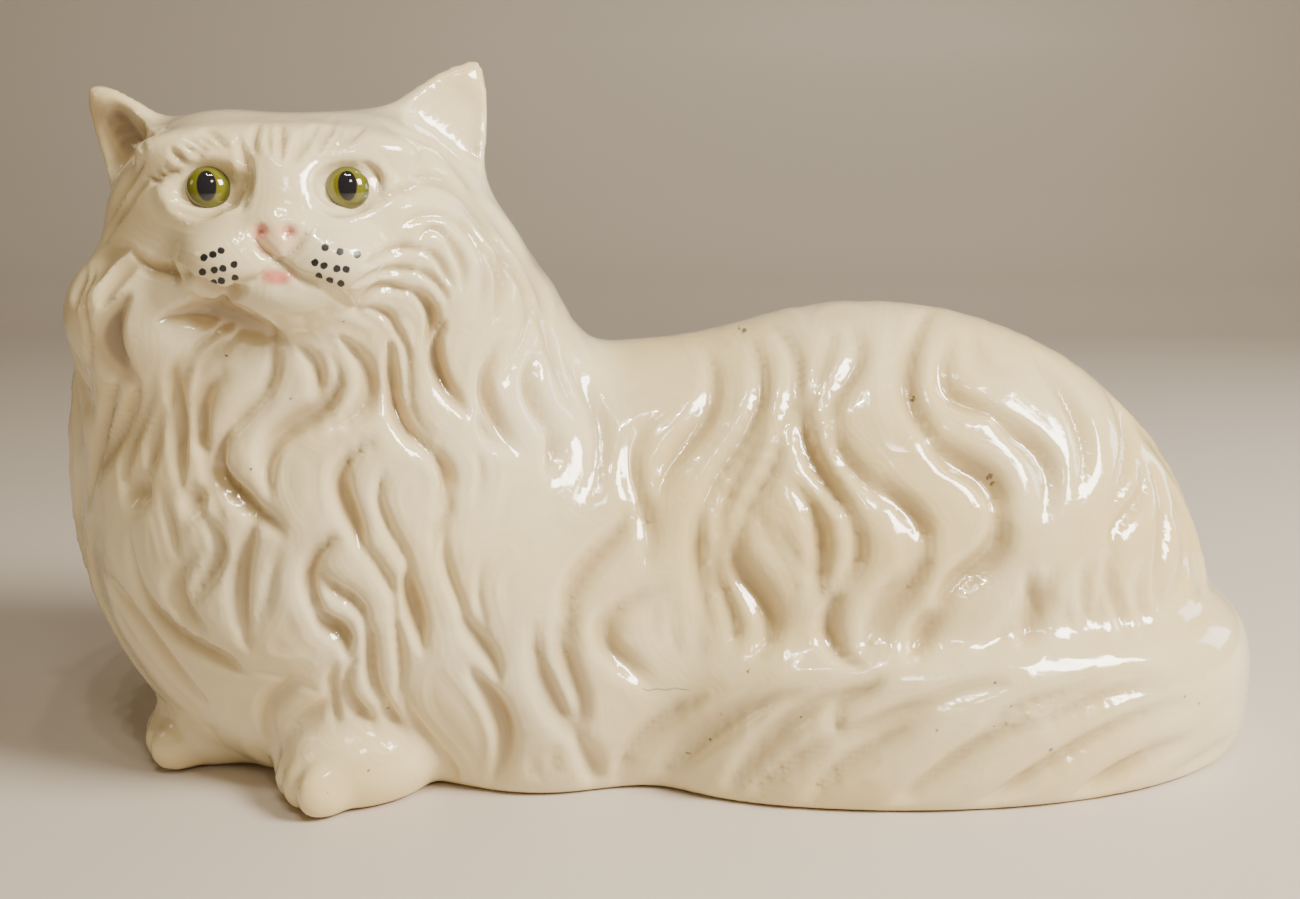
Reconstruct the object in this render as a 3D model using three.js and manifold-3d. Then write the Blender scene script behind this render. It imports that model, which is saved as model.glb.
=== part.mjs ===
// A glazed ceramic long-haired cat, life size, lying with its head up and its tail laid round its side.
// It is one hollow casting with two glass eyes set in its face. Millimetres, +Z up. The cat's chest is
// towards -Y and -X, its rump towards +X, and the origin is under the middle of the whole object.
import * as THREE from "three";
import { mergeVertices } from "three/addons/utils/BufferGeometryUtils.js";
import Module from "manifold-3d";

// Driving dimensions of the body: centres and half sizes of the rounded masses it is built of.
const TRUNK = { at: [85, 10, 40], half: [142, 80, 131] };
const LOIN = { at: [-20, 14, 62], half: [92, 72, 92] };
const CHEST = { at: [-118, -8, 105], half: [102, 84, 122] };
const RUFF = { at: [-174, -36, 150], half: [24, 32, 42] };
const ELBOW = { at: [-40, -16, 40], half: [66, 60, 75] };
const LOIN_BLEND = 26;
const ELBOW_BLEND = 24;
const RUFF_BLEND = 20;
const CHEST_BLEND = 16;

// The tail lies on an oval path around the hind quarters, seen from above.
const TAIL = { at: [90, 5], path: [127, 66], wide: 23, tall: 34, middle: 24, squareness: 2.6, blend: 7 };
const TAIL_THIN = 0.25;

// The head is turned a little to its left and tipped back.
const HEAD_AT = [-122, -56, 204];
const HEAD_TURN = THREE.MathUtils.degToRad(12);
const HEAD_TIP = THREE.MathUtils.degToRad(12);
const HEAD_BLEND = 24;
const SKULL_HALF = [57, 35, 46];

// Masses added to the skull, as right, up and forward of its middle. Those off the middle stand on both
// sides, except the cheeks and the crown: the left cheek is narrow, the right one runs out over the neck.
// The eye openings are scooped out before the last set is added.
const LEFT_CHEEK = { at: [-41, -31, 0], half: [30, 26, 32], blend: 12 };
const RIGHT_CHEEK = { at: [42, -14, -6], half: [35, 30, 34], blend: 14 };
const LEFT_CROWN = { at: [-22, 15, -4], half: [22, 19, 30], blend: 12 };
const RIGHT_CROWN = { at: [30, 17, -4], half: [27, 18, 30], blend: 12 };
const MUZZLE = { at: [0, -16, 26], half: [28, 20, 20], blend: 10 };
const BROW = { at: [21, 16.5, 31], half: [21, 6, 8], blend: 9 };
const EYE_OPENING = { at: [21.5, 4, 46], half: [13, 9, 11], blend: 4 };
const EYEBALL = { at: [20.8, 4, 26], half: [13.5, 12, 13], blend: 1 };
const BRIDGE = { at: [0, 2, 35], half: [8.5, 18, 10], blend: 8 };
const WHISKER_PAD = { at: [14.5, -19.5, 38], half: [16, 10.5, 13], blend: 5 };
const NOSE = { at: [0, -10, 43.5], half: [9, 5.5, 6.5], blend: 4 };
const NOSE_TIP = { at: [0, -15, 42.5], half: [4, 6.5, 6.5], blend: 3 };
const CHIN = { at: [0, -29.5, 34], half: [12.5, 6.5, 11], blend: 6 };

// Glass eyes, and the sockets they sit in.
const EYE_APART = 41.6;
const EYE_UP = 4;
const EYE_RADIUS = 6.8;
const EYE_FORWARD = 33;
const EYE_SIDE_WALL = 3.6;
const EYE_DOME = 4.6;
const FIT_GAP = 0.3;

// Ears: base and tip as right, up and forward of the middle of the head, and how far each turns out.
const EARS = [
  { base: [-44, 22, -6], tip: [-60, 45, -4], side: -1, turn: 0.75, rootHalf: 14 },
  { base: [49, 26, -6], tip: [66, 56, -8], side: 1, turn: 0.35, rootHalf: 19 },
];
const EAR_THICK = 9;
const EAR_EDGE = 2.4;
const EAR_BLEND = 8;
const EAR_SCOOP = 0.95;
const EAR_POINT = 0.72;

// Front paws: place of each and the bearing its toes point to.
const PAWS = [
  { at: [-108, -63], bearing: THREE.MathUtils.degToRad(212) },
  { at: [-168, -28], bearing: THREE.MathUtils.degToRad(200) },
];
const PAW = { ahead: -6, up: 13, half: [30, 22, 20], blend: 5 };
const TOE = { ahead: 17, up: 9.5, half: [10.5, 6.2, 10], gap: 9, back: 2, blend: 3 };
const TOES = [-1.5, -0.5, 0.5, 1.5];

// Relief of the face: the lid ridge round each eye, and the mouth line, which fades at the muzzle's end.
const LID = { inner: 10.5, outer: 13, above: 8.2, below: 9.2, at: 1.08, spread: 0.17, height: 1 };
const MOUTH = { up: -20.7, fall: 0.58, sag: 1.5, sagAt: 6, sagSpread: 4, spread: 1.4, depth: 2.4 };
const MUZZLE_END = [18, 25];

// The locks are carved from a drawing held upright before the cat, seen from this standpoint.
const STANDPOINT = [0, -500, 220];
const LOOK_DOWN = THREE.MathUtils.degToRad(12);
const DRAWING_AT = 475;
const MIDDLE_Y = 10;

// Grooves between the locks, on that drawing, in millimetres right and up of its middle:
// [from right, from up, to right, to up, bend at a third, bend at two thirds, half width, depth].
const FLANK_GROOVES = [
  [23, 28.5, 3.5, -13.5, 4, 1, 4, 3.5],
  [-3.5, 7.5, -1.5, -39, -4, -0.5, 2.3, 3],
  [-8.5, -23.5, -29, -69, -3.5, -7, 3.5, 4],
  [-4.5, -54, -3, -84, -12, -10, 4, 4],
  [40, 31, 19, -23.5, 4.5, 1, 2.5, 3.5],
  [18.5, -21.5, 21.5, -63.5, -3, -2.5, 2.5, 3.5],
  [40, 7.5, 25.5, -34, -2, -3.5, 2.2, 3],
  [25.5, -32.5, 30.5, -69, -3.5, -1, 2.7, 3.5],
  [49, 40.5, 48, 4, 5, 3, 2.5, 2.5],
  [47, 4, 31.5, -33.5, 1, -1, 1.8, 3],
  [31.5, -32.5, 42.5, -70.5, -1.5, 3, 4, 4.5],
  [54.5, 19.5, 72.5, -23.5, -4.5, -3.5, 3, 4.5],
  [71.5, -22.5, 68, -53.5, 6, 5.5, 2.2, 3.5],
  [68, -52.5, 73.5, -78, -5.5, -5.5, 3, 4],
  [54.5, -14, 61.5, -54, 4.5, 3.5, 2.7, 4],
  [75.5, 40.5, 67, 9.5, 1, -2.5, 2.5, 3],
  [67, 11, 84.5, -20.5, -3.5, -1.5, 2.2, 3],
  [65.5, 40.5, 60, 6, -1.5, -2.5, 2, 2],
  [79, -72.5, 94.5, -44, 3, 2.5, 2.4, 3.5],
  [-27.5, 31, -21, -14, 5, 5.5, 3, 2.5],
];
const RUMP_GROOVES = [
  [98.5, 47, 105, 2, -7, -7.5, 2.8, 4],
  [104, 3, 128, -25.5, 3.5, 6.5, 4.5, 5],
  [128, -23.5, 107, -60, 6, 1.5, 5, 5],
  [108, -58, 95.5, -75.5, -1.5, -1.5, 4, 4],
  [107, 34.5, 127, 12.5, -7.5, -5, 3, 3.5],
  [126, 13.5, 147, -18, 4.5, 6.5, 3, 4],
  [84, -12, 101, -37, 2.5, 4, 3, 4],
  [101, -36, 85, -68.5, 2, 0, 3, 4],
  [139.5, -47.5, 137.5, -70.5, 3.5, 3, 3.5, 4.5],
  [145, 31, 158.5, -10.5, 4.5, 5.5, 2.5, 3],
  [170, 18.5, 168, -23.5, 6.5, 5.5, 2, 2.6],
  [181.5, -6.5, 170, -37, 2.5, -1, 2, 3.2],
  [169.5, -36, 173, -66, -2.5, -1, 2, 2.5],
  [185.5, -8.5, 186.5, -54.5, 3.5, 2, 2, 2.5],
  [161.5, -42, 158.5, -66.5, -1, 1, 2.2, 2.5],
];
const CHEST_GROOVES = [
  [-166, 42, -173, -2.5, -5.5, -2.5, 2.2, 3.5],
  [-157, 26, -164.5, -2.5, -4.5, -3.5, 2.4, 3.5],
  [-137.5, 37.5, -157, 3.5, 5, 3, 2.2, 3],
  [-157, 4, -143.5, -25, -7.5, -4.5, 2.8, 5],
  [-115, 23.5, -141.5, -8.5, -1, -5, 4.5, 4.5],
  [-107.5, 36, -114, 8.5, 8, 7.5, 3.4, 4],
  [-126, 36, -124, 17, 3.5, 3.5, 2.1, 3],
  [-106.5, 0, -107.5, -33.5, -7, -4.5, 2.6, 4.5],
  [-194.5, -15, -178.5, -17.5, 0, 0, 4, 3],
  [-174.5, -19, -161, -21, 0, 0, 4, 3],
  [-168.5, -40, -166, -65.5, -7, -6, 3, 3],
  [-161, -28, -167, -54.5, 5, 3.5, 2.5, 3.5],
  [-145.5, -28, -149, -68, -3.5, -3.5, 3, 4],
  [-153.5, -16, -135.5, -29.5, -1, -0.5, 2.2, 4],
  [-116, -33, -121, -62, -6.5, -6, 2.5, 4],
  [-121.5, -60.5, -110, -74, 0, 1.5, 3, 4.5],
  [-121, -45, -103.5, -65.5, 0, 2.5, 2, 3.5],
  [-103.5, -64.5, -97, -93.5, -1, -2.5, 2, 3.5],
  [-98, -92, -77.5, -120, -1.5, 0, 2, 3],
  [-111.5, -11, -105.5, -36.5, -1.5, -0.5, 2.5, 4],
  [-88.5, -46, -83.5, -71.5, -0.5, 0, 3, 4.5],
  [-109, -79, -99, -104.5, -6, -4, 2, 3],
  [-116, -81, -115, -100.5, -1, -0.5, 1.8, 3],
  [-130.5, -85, -139, -104.5, -3.5, -4.5, 3, 2.5],
  [-177.5, 51.5, -180.5, 30.5, -2, -1, 2.2, 3],
  [-158, 42.5, -172.5, 19.5, -3, -2, 1.8, 3],
  [-202, 45, -197.5, 33, 3, 2.5, 4.5, 3],
  [-172, 42.5, -174.5, 14, -2, -2.5, 1.5, 1.8],
  [-174.5, 19, -172, -10.5, -0.5, -0.5, 2.2, 2.5],
  [-154.5, 34.5, -164, 9.5, -3, -4.5, 1.4, 1.5],
  [-162.5, 3, -157.5, -24, -2.5, -2.5, 1.4, 2],
];
const SHOULDER_GROOVES = [
  [-68.5, -60.5, -55.5, -82.5, 0, 1, 3, 3.5],
  [-64, -83.5, -55.5, -119, 4.5, 5.5, 3.5, 4],
  [-30.5, -59.5, -25.5, -103, -3, 0.5, 3, 4],
  [-42.5, -69, -25.5, -108, -3.5, -3, 3.5, 4],
  [-26.5, -105.5, -19, -127.5, 1.5, 2, 3, 3],
  [-95, 34.5, -80.5, 0, -4, -5, 2.6, 5],
  [-81.5, 1, -76, -20.5, 4.5, 5, 2.2, 4],
  [-56, 34.5, -50, 1.5, -5.5, -4, 2.2, 4.5],
  [-61.5, 13, -51.5, 1, -2, -1.5, 2.5, 3],
  [-40.5, 34.5, -35, 6, -4.5, -3, 2, 4],
  [-35.5, 7.5, -36, -8, 2, 1.5, 1.6, 4],
];
const TAIL_GROOVES = [
  [-13, -123, 15.5, -92, 4.5, 4, 2.1, 3],
  [2.5, -119.5, 35.5, -89.5, 3, 1.5, 2.2, 2.2],
  [5, -119, 50.5, -89.5, 2.5, 3, 3.4, 3.3],
  [28.5, -124, 70.5, -88.5, 3.5, 3.5, 4.5, 3.2],
  [68, -103, 82.5, -84.5, 5, 2.5, 2.8, 3.8],
  [67.5, -105.5, 112.5, -91, 0, 1, 3.1, 3.3],
  [59, -126.5, 101, -97, 1.5, 0.5, 2.8, 3.3],
  [35.5, -127.5, 67.5, -105.5, 1, 1, 2.1, 2.7],
  [92, -129, 143, -100.5, 2, 3, 2.8, 3.9],
  [139.5, -101.5, 182.5, -86.5, 0.5, 1.5, 2.8, 3],
  [120, -107.5, 160.5, -85, 3.5, 1.5, 2.1, 3],
  [91.5, -94.5, 127.5, -86, -0.5, 0.5, 3.4, 2.4],
  [115.5, -133, 188, -95, 0, 1.5, 2.2, 3.6],
  [147.5, -132, 193, -108, -0.5, 0.5, 2.2, 3.6],
  [182.5, -126.5, 210.5, -108, -1, -1.5, 2.1, 3],
];
const HIND_GROOVES = [...FLANK_GROOVES, ...RUMP_GROOVES, ...TAIL_GROOVES];
const COAT_GROOVES = [...HIND_GROOVES, ...CHEST_GROOVES, ...SHOULDER_GROOVES];

// Strokes of the face and the cheeks, in the same way.
const FACE_STROKES = [
  [-149.5, 112, -149, 89, 1.5, 1.5, 2.2, 1.6],
  [-150.5, 56, -168.5, 61.5, 2.5, 1.5, 2.2, 2.6],
  [-167, 60.5, -188.5, 70.5, -0.5, 1, 2.4, 2.2],
  [-192.5, 74, -205.5, 61.5, -2.5, -2, 3.2, 1],
  [-186.5, 70, -201.5, 52.5, -2, -2, 2.6, 1],
  [-83.5, 97.5, -67.5, 92.5, 2.5, 2.5, 1.4, 1.8],
  [-68, 93.5, -55, 75.5, 1, 1.5, 1.5, 1.8],
  [-56, 77, -53, 53, 2.5, 2.5, 1.6, 1.8],
  [-66.5, 95, -45, 69, 1.5, 1, 1.5, 1.5],
  [-46.5, 71, -36.5, 47, 1, 1.5, 1.5, 1.5],
  [-74, 85, -61, 69.5, 3, 2.5, 1.4, 1.6],
  [-61, 70.5, -62.5, 51.5, 2, 2, 1.4, 1.4],
  [-103, 68, -83.5, 73, 2, 2.5, 1.4, 1.6],
  [-105.5, 61, -85.5, 65.5, 1.5, 2, 1.4, 1.6],
  [-105.5, 53.5, -88.5, 58, 3, 3, 1.6, 1.8],
  [-89, 58.5, -78.5, 45, 3, 3, 1.6, 1.8],
  [-103, 51.5, -90.5, 39.5, 3, 2.5, 1.4, 1.6],
  [-77, 42.5, -68.5, 16, -4, -3, 2.2, 4],
  [-85, 57, -81, 39, 3.5, 3.5, 2, 3],
  [-60.5, 73.5, -55.5, 48.5, 4, 3.5, 1.4, 1.8],
  [-195, 53.5, -192.5, 24.5, -5.5, -5, 5, 4],
  [-175, 49, -137, 41, 3, 2, 4.5, 3],
];

// Section of those grooves: how far each runs past its ends, how fast its width and depth taper to them,
// how much wider its rounded edges are, how far the bottom leans to the outer side of the bend, the low rim
// along each edge, and the wide shallow swale that rounds the ridges beside it, as shares of the groove's.
const OVERRUN = 0.14;
const WIDTH_TAPER = 0.6;
const DEPTH_TAPER = 0.9;
const SOFT_EDGE = 0.8;
const ROUNDING = 1.3;
const ROUNDNESS = 1.7;
const GROOVE_SHARE = 1.15;
const GROOVE_LEAN = 0.45;
const RIM_HEIGHT = 0.16;
const RIM_SPREAD = 0.35;
const SWALE_SHARE = 0.4;
const SWALE_WIDTH = 1.9;

// Upright wavy grooves on the ends, which the drawing doesn't reach.
const CHEST_END = { spacing: 15, sway: 7, wave: 17, slant: 0.12, depth: 3.2, from: [150, 175] };
const RUMP_END = { spacing: 16, sway: 5, wave: 19, depth: 2.6, from: [150, 185], above: [58, 66] };

// Mesh: the steps of the first mesh, small where the ears are, and the triangles left on the body once
// it is thinned out.
const MESH_STEP = 3.4;
const SMALL_STEP = 2.6;
const SPACE = { low: [-238, -120, -14], high: [248, 104, 268] };
const EAR_SPACE = { low: [-200, -70, 222], high: [-50, -15, 262] };
const BELOW_FLOOR = 6;
const BODY_TRIANGLES = 8600;

// The form is moved by this much, so that the origin is under the middle of its box.
const TO_MIDDLE = [-10.35, 11.13, 0];

const clamp = THREE.MathUtils.clamp;

function smoothStep(v, a, b) {
  const t = clamp((v - a) / (b - a), 0, 1);
  return t * t * (3 - 2 * t);
}

// 1 at 0, falling evenly on both sides.
function bell(v, spread) {
  return Math.exp(-((v / spread) ** 2));
}

// The lower of two distances, with the corner between them rounded over k.
function blend(a, b, k) {
  const h = clamp(0.5 + (0.5 * (b - a)) / k, 0, 1);
  return b + (a - b) * h - k * h * (1 - h);
}

// The higher of two distances, rounded over k: it hollows out.
function hollow(a, b, k) {
  return -blend(-a, -b, k);
}

// Distance from an ellipsoid, to first order.
function ellipsoid(x, y, z, at, half) {
  const u = (x - at[0]) / half[0];
  const v = (y - at[1]) / half[1];
  const w = (z - at[2]) / half[2];
  const near = Math.hypot(u, v, w);
  const slope = Math.hypot(u / half[0], v / half[1], w / half[2]) + 1e-9;
  return (near * (near - 1)) / slope;
}

function tail(x, y, z) {
  const ex = (x - TAIL.at[0]) / TAIL.path[0];
  const ey = (y - TAIL.at[1]) / TAIL.path[1];
  const e = Math.hypot(ex, ey) + 1e-9;
  const steep = Math.hypot(ex / TAIL.path[0], ey / TAIL.path[1]) / e + 1e-9;
  const outward = (e - 1) / steep;
  const bearing = THREE.MathUtils.radToDeg(Math.atan2(ey, ex));
  const full = smoothStep(bearing, -168, -105) * smoothStep(-bearing, -75, -25);
  const size = TAIL_THIN + (1 - TAIL_THIN) * full;
  const wide = TAIL.wide * size;
  const tall = TAIL.tall * size;
  const up = z - TAIL.middle * (0.6 + 0.4 * full);
  const n = TAIL.squareness;
  const a = Math.abs(outward) / wide + 1e-6;
  const b = Math.abs(up) / tall + 1e-6;
  const k = Math.pow(a ** n + b ** n, 1 / n);
  const slope = Math.hypot(a ** (n - 1) / wide, b ** (n - 1) / tall) * k ** (1 - n);
  return (k - 1) / Math.max(slope, 1e-6);
}

function trunk(x, y, z) {
  const back = ellipsoid(x, y, z, TRUNK.at, TRUNK.half);
  const loin = ellipsoid(x, y, z, LOIN.at, LOIN.half);
  return blend(blend(back, loin, LOIN_BLEND), tail(x, y, z), TAIL.blend);
}

function chest(x, y, z) {
  const ruff = ellipsoid(x, y, z, RUFF.at, RUFF.half);
  const mane = blend(ellipsoid(x, y, z, CHEST.at, CHEST.half), ruff, RUFF_BLEND);
  return blend(mane, ellipsoid(x, y, z, ELBOW.at, ELBOW.half), ELBOW_BLEND);
}

// Directions of the head: right as the viewer sees it, up, and forward out of the face.
const headFrame = new THREE.Matrix4()
  .makeRotationZ(HEAD_TURN)
  .multiply(new THREE.Matrix4().makeRotationX(-HEAD_TIP));
const RIGHT = new THREE.Vector3(1, 0, 0).applyMatrix4(headFrame).toArray();
const FORWARD = new THREE.Vector3(0, -1, 0).applyMatrix4(headFrame).toArray();
const UP = new THREE.Vector3(0, 0, 1).applyMatrix4(headFrame).toArray();

function dot(a, b) {
  return a[0] * b[0] + a[1] * b[1] + a[2] * b[2];
}

function onFace(x, y, z) {
  const q = [x - HEAD_AT[0], y - HEAD_AT[1], z - HEAD_AT[2]];
  return [dot(q, RIGHT), dot(q, UP), dot(q, FORWARD)];
}

function fromFace([r, u, f]) {
  return HEAD_AT.map((v, i) => v + r * RIGHT[i] + u * UP[i] + f * FORWARD[i]);
}

// Each ear is a tapering plate, thick at its root, with a scoop on its open side.
function earFrame({ base, tip, side, turn: out, rootHalf }) {
  const from = new THREE.Vector3(...fromFace(base));
  const axis = new THREE.Vector3(...fromFace(tip)).sub(from);
  const length = axis.length();
  axis.normalize();
  const look = new THREE.Vector3(...FORWARD).addScaledVector(new THREE.Vector3(...RIGHT), side * out);
  look.addScaledVector(axis, -look.dot(axis)).normalize();
  const across = new THREE.Vector3().crossVectors(axis, look);
  return { from, axis: axis.toArray(), look: look.toArray(), across: across.toArray(), length, rootHalf };
}
const EAR_FRAMES = EARS.map(earFrame);

function ear(x, y, z, frame) {
  const q = [x - frame.from.x, y - frame.from.y, z - frame.from.z];
  const along = dot(q, frame.axis) / frame.length;
  const w = dot(q, frame.across);
  const f = dot(q, frame.look);
  const t = clamp(along, -0.3, 1);
  const half = frame.rootHalf * (1 - t) ** EAR_POINT + EAR_EDGE;
  const thick = EAR_THICK * (1 - t) + EAR_EDGE;
  const past = Math.abs(along - t) * frame.length;
  const d = (Math.hypot(w / half, f / thick) - 1) * Math.min(half, thick);
  const plate = Math.hypot(Math.max(d, 0), past) + Math.min(d, 0);
  const reach = smoothStep(along, -0.1, 0.15) * smoothStep(-along, -0.85, -0.55);
  const scoop = EAR_SCOOP * thick * clamp(1 - (w / (0.8 * half)) ** 2, 0, 1) * reach;
  return plate + scoop * smoothStep(f, 0, 4);
}

function head(x, y, z) {
  const [right, u, f] = onFace(x, y, z);
  const r = Math.abs(right);
  const onBoth = (whole, mass) => blend(whole, ellipsoid(r, u, f, mass.at, mass.half), mass.blend);
  const onOne = (whole, mass) => blend(whole, ellipsoid(right, u, f, mass.at, mass.half), mass.blend);
  const brow = [MUZZLE, BROW].reduce(onBoth, ellipsoid(r, u, f, [0, 0, 0], SKULL_HALF));
  const skull = [LEFT_CROWN, RIGHT_CROWN, LEFT_CHEEK, RIGHT_CHEEK].reduce(onOne, brow);
  const opening = ellipsoid(r, u, f, EYE_OPENING.at, EYE_OPENING.half);
  const opened = hollow(skull, -opening, EYE_OPENING.blend);
  return [EYEBALL, BRIDGE, WHISKER_PAD, NOSE, NOSE_TIP, CHIN].reduce(onBoth, opened);
}

function paw(x, y, z, { at, bearing }) {
  const c = Math.cos(bearing);
  const s = Math.sin(bearing);
  const ahead = (x - at[0]) * c + (y - at[1]) * s;
  const aside = -(x - at[0]) * s + (y - at[1]) * c;
  let d = ellipsoid(ahead, aside, z, [PAW.ahead, 0, PAW.up], PAW.half);
  for (const toe of TOES) {
    const place = [TOE.ahead - Math.abs(toe) * TOE.back, toe * TOE.gap, TOE.up];
    d = blend(d, ellipsoid(ahead, aside, z, place, TOE.half), TOE.blend);
  }
  return d;
}

// Distance from the whole smooth form, below zero inside it. It runs on a little way under the floor,
// where the body is later cut off flat.
function form(x, y, z) {
  let d = blend(trunk(x, y, z), chest(x, y, z), CHEST_BLEND);
  d = blend(d, head(x, y, z), HEAD_BLEND);
  for (const frame of EAR_FRAMES) d = blend(d, ear(x, y, z, frame), EAR_BLEND);
  for (const place of PAWS) d = blend(d, paw(x, y, z, place), PAW.blend);
  return Math.max(d, -BELOW_FLOOR - z);
}

function slopeOf(x, y, z, e) {
  return [
    (form(x + e, y, z) - form(x - e, y, z)) / (2 * e),
    (form(x, y + e, z) - form(x, y - e, z)) / (2 * e),
    (form(x, y, z + e) - form(x, y, z - e)) / (2 * e),
  ];
}

// Depth of one tapered groove at a place on the drawing, and of the low rim that stands along it.
function groove(a, b, [x0, z0, x1, z1, bend1, bend2, half, depth]) {
  const length = Math.hypot(x1 - x0, z1 - z0);
  const tx = (x1 - x0) / length;
  const tz = (z1 - z0) / length;
  const s = ((a - x0) * tx + (b - z0) * tz) / length;
  if (s <= -OVERRUN || s >= 1 + OVERRUN) return [0, 0];
  const swing = bend1 * (2 - 3 * s) + bend2 * (3 * s - 1);
  const offset = 4.5 * s * (1 - s) * swing;
  const slope = (4.5 * ((1 - 2 * s) * swing + 3 * s * (1 - s) * (bend2 - bend1))) / length;
  const aside = (-(a - x0) * tz + (b - z0) * tx - offset) / Math.hypot(1, slope);
  const taper = Math.sin((Math.PI * (s + OVERRUN)) / (1 + 2 * OVERRUN)) ** WIDTH_TAPER;
  const width = ROUNDING * half * taper + SOFT_EDGE;
  const u = clamp(aside / width, -1, 1);
  const lean = 1 - GROOVE_LEAN * Math.sign(bend1 + bend2) * u;
  const cut = GROOVE_SHARE * (1 - u * u) ** ROUNDNESS * lean * taper ** DEPTH_TAPER;
  const swale = SWALE_SHARE * bell(aside, SWALE_WIDTH * width) * taper;
  const rim = RIM_HEIGHT * taper * bell(Math.abs(aside) - width, RIM_SPREAD * width + 0.5);
  return [depth * (cut + swale), depth * rim];
}

// Height of the carving at a place on the near side of the form, from rows of the drawing.
function carvedFromDrawing(x, y, z, normal, rows) {
  const q = [x - STANDPOINT[0], y - STANDPOINT[1], z - STANDPOINT[2]];
  const away = q[1] * Math.cos(LOOK_DOWN) - q[2] * Math.sin(LOOK_DOWN);
  const rise = q[1] * Math.sin(LOOK_DOWN) + q[2] * Math.cos(LOOK_DOWN);
  const a = (q[0] * DRAWING_AT) / away;
  const b = (rise * DRAWING_AT) / away;
  const facing = smoothStep(-dot(normal, q) / Math.hypot(...q), 0.08, 0.42);
  if (facing === 0) return 0;
  let cut = 0;
  let rim = 0;
  for (const row of rows) {
    const [c, r] = groove(a, b, row);
    cut = Math.max(cut, c);
    rim = Math.max(rim, r);
  }
  return (rim * (1 - clamp(cut / 1.5, 0, 1)) - cut) * facing;
}

// Height of the upright wavy grooves on the outer end of the chest and of the rump.
function carvedOnEnds(x, y, z, normal) {
  const atChest = smoothStep(-normal[0], 0.55, 0.85) * smoothStep(-x, ...CHEST_END.from);
  const chestWave = Math.sin(z / CHEST_END.wave + 0.8) * CHEST_END.sway + CHEST_END.slant * z;
  const chestPart = Math.abs(Math.sin((Math.PI * (y + chestWave)) / CHEST_END.spacing)) ** 0.8;
  const atRump = smoothStep(normal[0], 0.55, 0.85) * smoothStep(x, ...RUMP_END.from);
  const rumpWave = Math.sin(z / RUMP_END.wave) * RUMP_END.sway;
  const rumpPart = Math.abs(Math.sin((Math.PI * (y + rumpWave)) / RUMP_END.spacing));
  const overTail = smoothStep(z, ...RUMP_END.above);
  return -CHEST_END.depth * chestPart * atChest - RUMP_END.depth * rumpPart * atRump * overTail;
}

// Height of the lid ridges and the mouth line, in face directions.
function carvedOnFace(x, y, z) {
  const [right, u, f] = onFace(x, y, z);
  if (f <= 0) return 0;
  const r = Math.abs(right);
  const aside = r - EYE_APART / 2;
  const above = u - EYE_UP;
  const wide = aside > 0 ? LID.outer : LID.inner;
  const lid = Math.hypot(aside / wide, above / (above > 0 ? LID.above : LID.below));
  const sag = MOUTH.sag * bell(r - MOUTH.sagAt, MOUTH.sagSpread);
  const fromMouth = u - (MOUTH.up - MOUTH.fall * r - sag);
  const onMuzzle = smoothStep(f, 14, 16) * (1 - smoothStep(r, ...MUZZLE_END));
  return LID.height * bell(lid - LID.at, LID.spread) - MOUTH.depth * bell(fromMouth, MOUTH.spread) * onMuzzle;
}

// Height of all the carving at a place on the smooth form, whose outward direction is normal.
function carving(x, y, z, normal) {
  const far = y > MIDDLE_Y;
  const nearY = far ? 2 * MIDDLE_Y - y : y;
  const nearNormal = [normal[0], far ? -normal[1] : normal[1], normal[2]];
  const locks = carvedFromDrawing(x, nearY, z, nearNormal, COAT_GROOVES);
  const coat = locks + carvedOnEnds(x, y, z, normal);
  const strokes = carvedFromDrawing(x, y, z, normal, FACE_STROKES);
  const rest = Math.min(chest(x, y, z), trunk(x, y, z));
  const overCoat = rest - head(x, y, z);
  const onHead = y < 0 ? smoothStep(overCoat, -3, 7) : 0;
  const toEar = Math.min(...EAR_FRAMES.map((frame) => ear(x, y, z, frame)));
  const toPaw = Math.min(...PAWS.map((place) => paw(x, y, z, place)));
  const clear = smoothStep(toEar, 0.5, 5) * smoothStep(toPaw, 0.5, 6);
  const face = carvedOnFace(x, y, z) * smoothStep(toEar, 0.5, 4);
  return (coat * clear * (1 - smoothStep(overCoat, 8, 20)) + face * onHead) * smoothStep(z, 0.5, 9) + strokes;
}

function gridLines(axis) {
  const lines = [SPACE.low[axis]];
  while (lines.at(-1) < SPACE.high[axis]) {
    const here = lines.at(-1);
    const small = here > EAR_SPACE.low[axis] && here < EAR_SPACE.high[axis];
    lines.push(here + (small ? SMALL_STEP : MESH_STEP));
  }
  return lines;
}

const CORNERS = [0, 1, 2, 3, 4, 5, 6, 7].map((c) => [c & 1, (c >> 1) & 1, c >> 2]);
const FACES = [0, 1, 2].flatMap((axis) => {
  const [u, w] = [1 << ((axis + 1) % 3), 1 << ((axis + 2) % 3)];
  return [0, 1 << axis].map((base) => [base, base + u, base + u + w, base + w]);
});

const edgeKey = (a, b) => Math.min(a, b) * 8 + Math.max(a, b);

// The crossed edges of a cell, each with the sheet of the surface that crosses it. On each face of the
// cell the surface runs from the edge where it enters a row of inside corners to the edge where it leaves.
function sheetsOf(v) {
  const sheet = new Map();
  for (const face of FACES)
    for (let m = 0; m < 4; m++) {
      if (v[face[m]] < 0 || v[face[(m + 1) % 4]] >= 0) continue;
      let last = m + 1;
      while (v[face[(last + 1) % 4]] < 0) last++;
      const enter = edgeKey(face[m], face[(m + 1) % 4]);
      const leave = edgeKey(face[last % 4], face[(last + 1) % 4]);
      const [a, b] = [enter, leave].map((key) => sheet.get(key) ?? key);
      sheet.set(enter, a);
      sheet.set(leave, b);
      for (const [key, value] of sheet) if (value === b) sheet.set(key, a);
    }
  return sheet;
}

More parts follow.
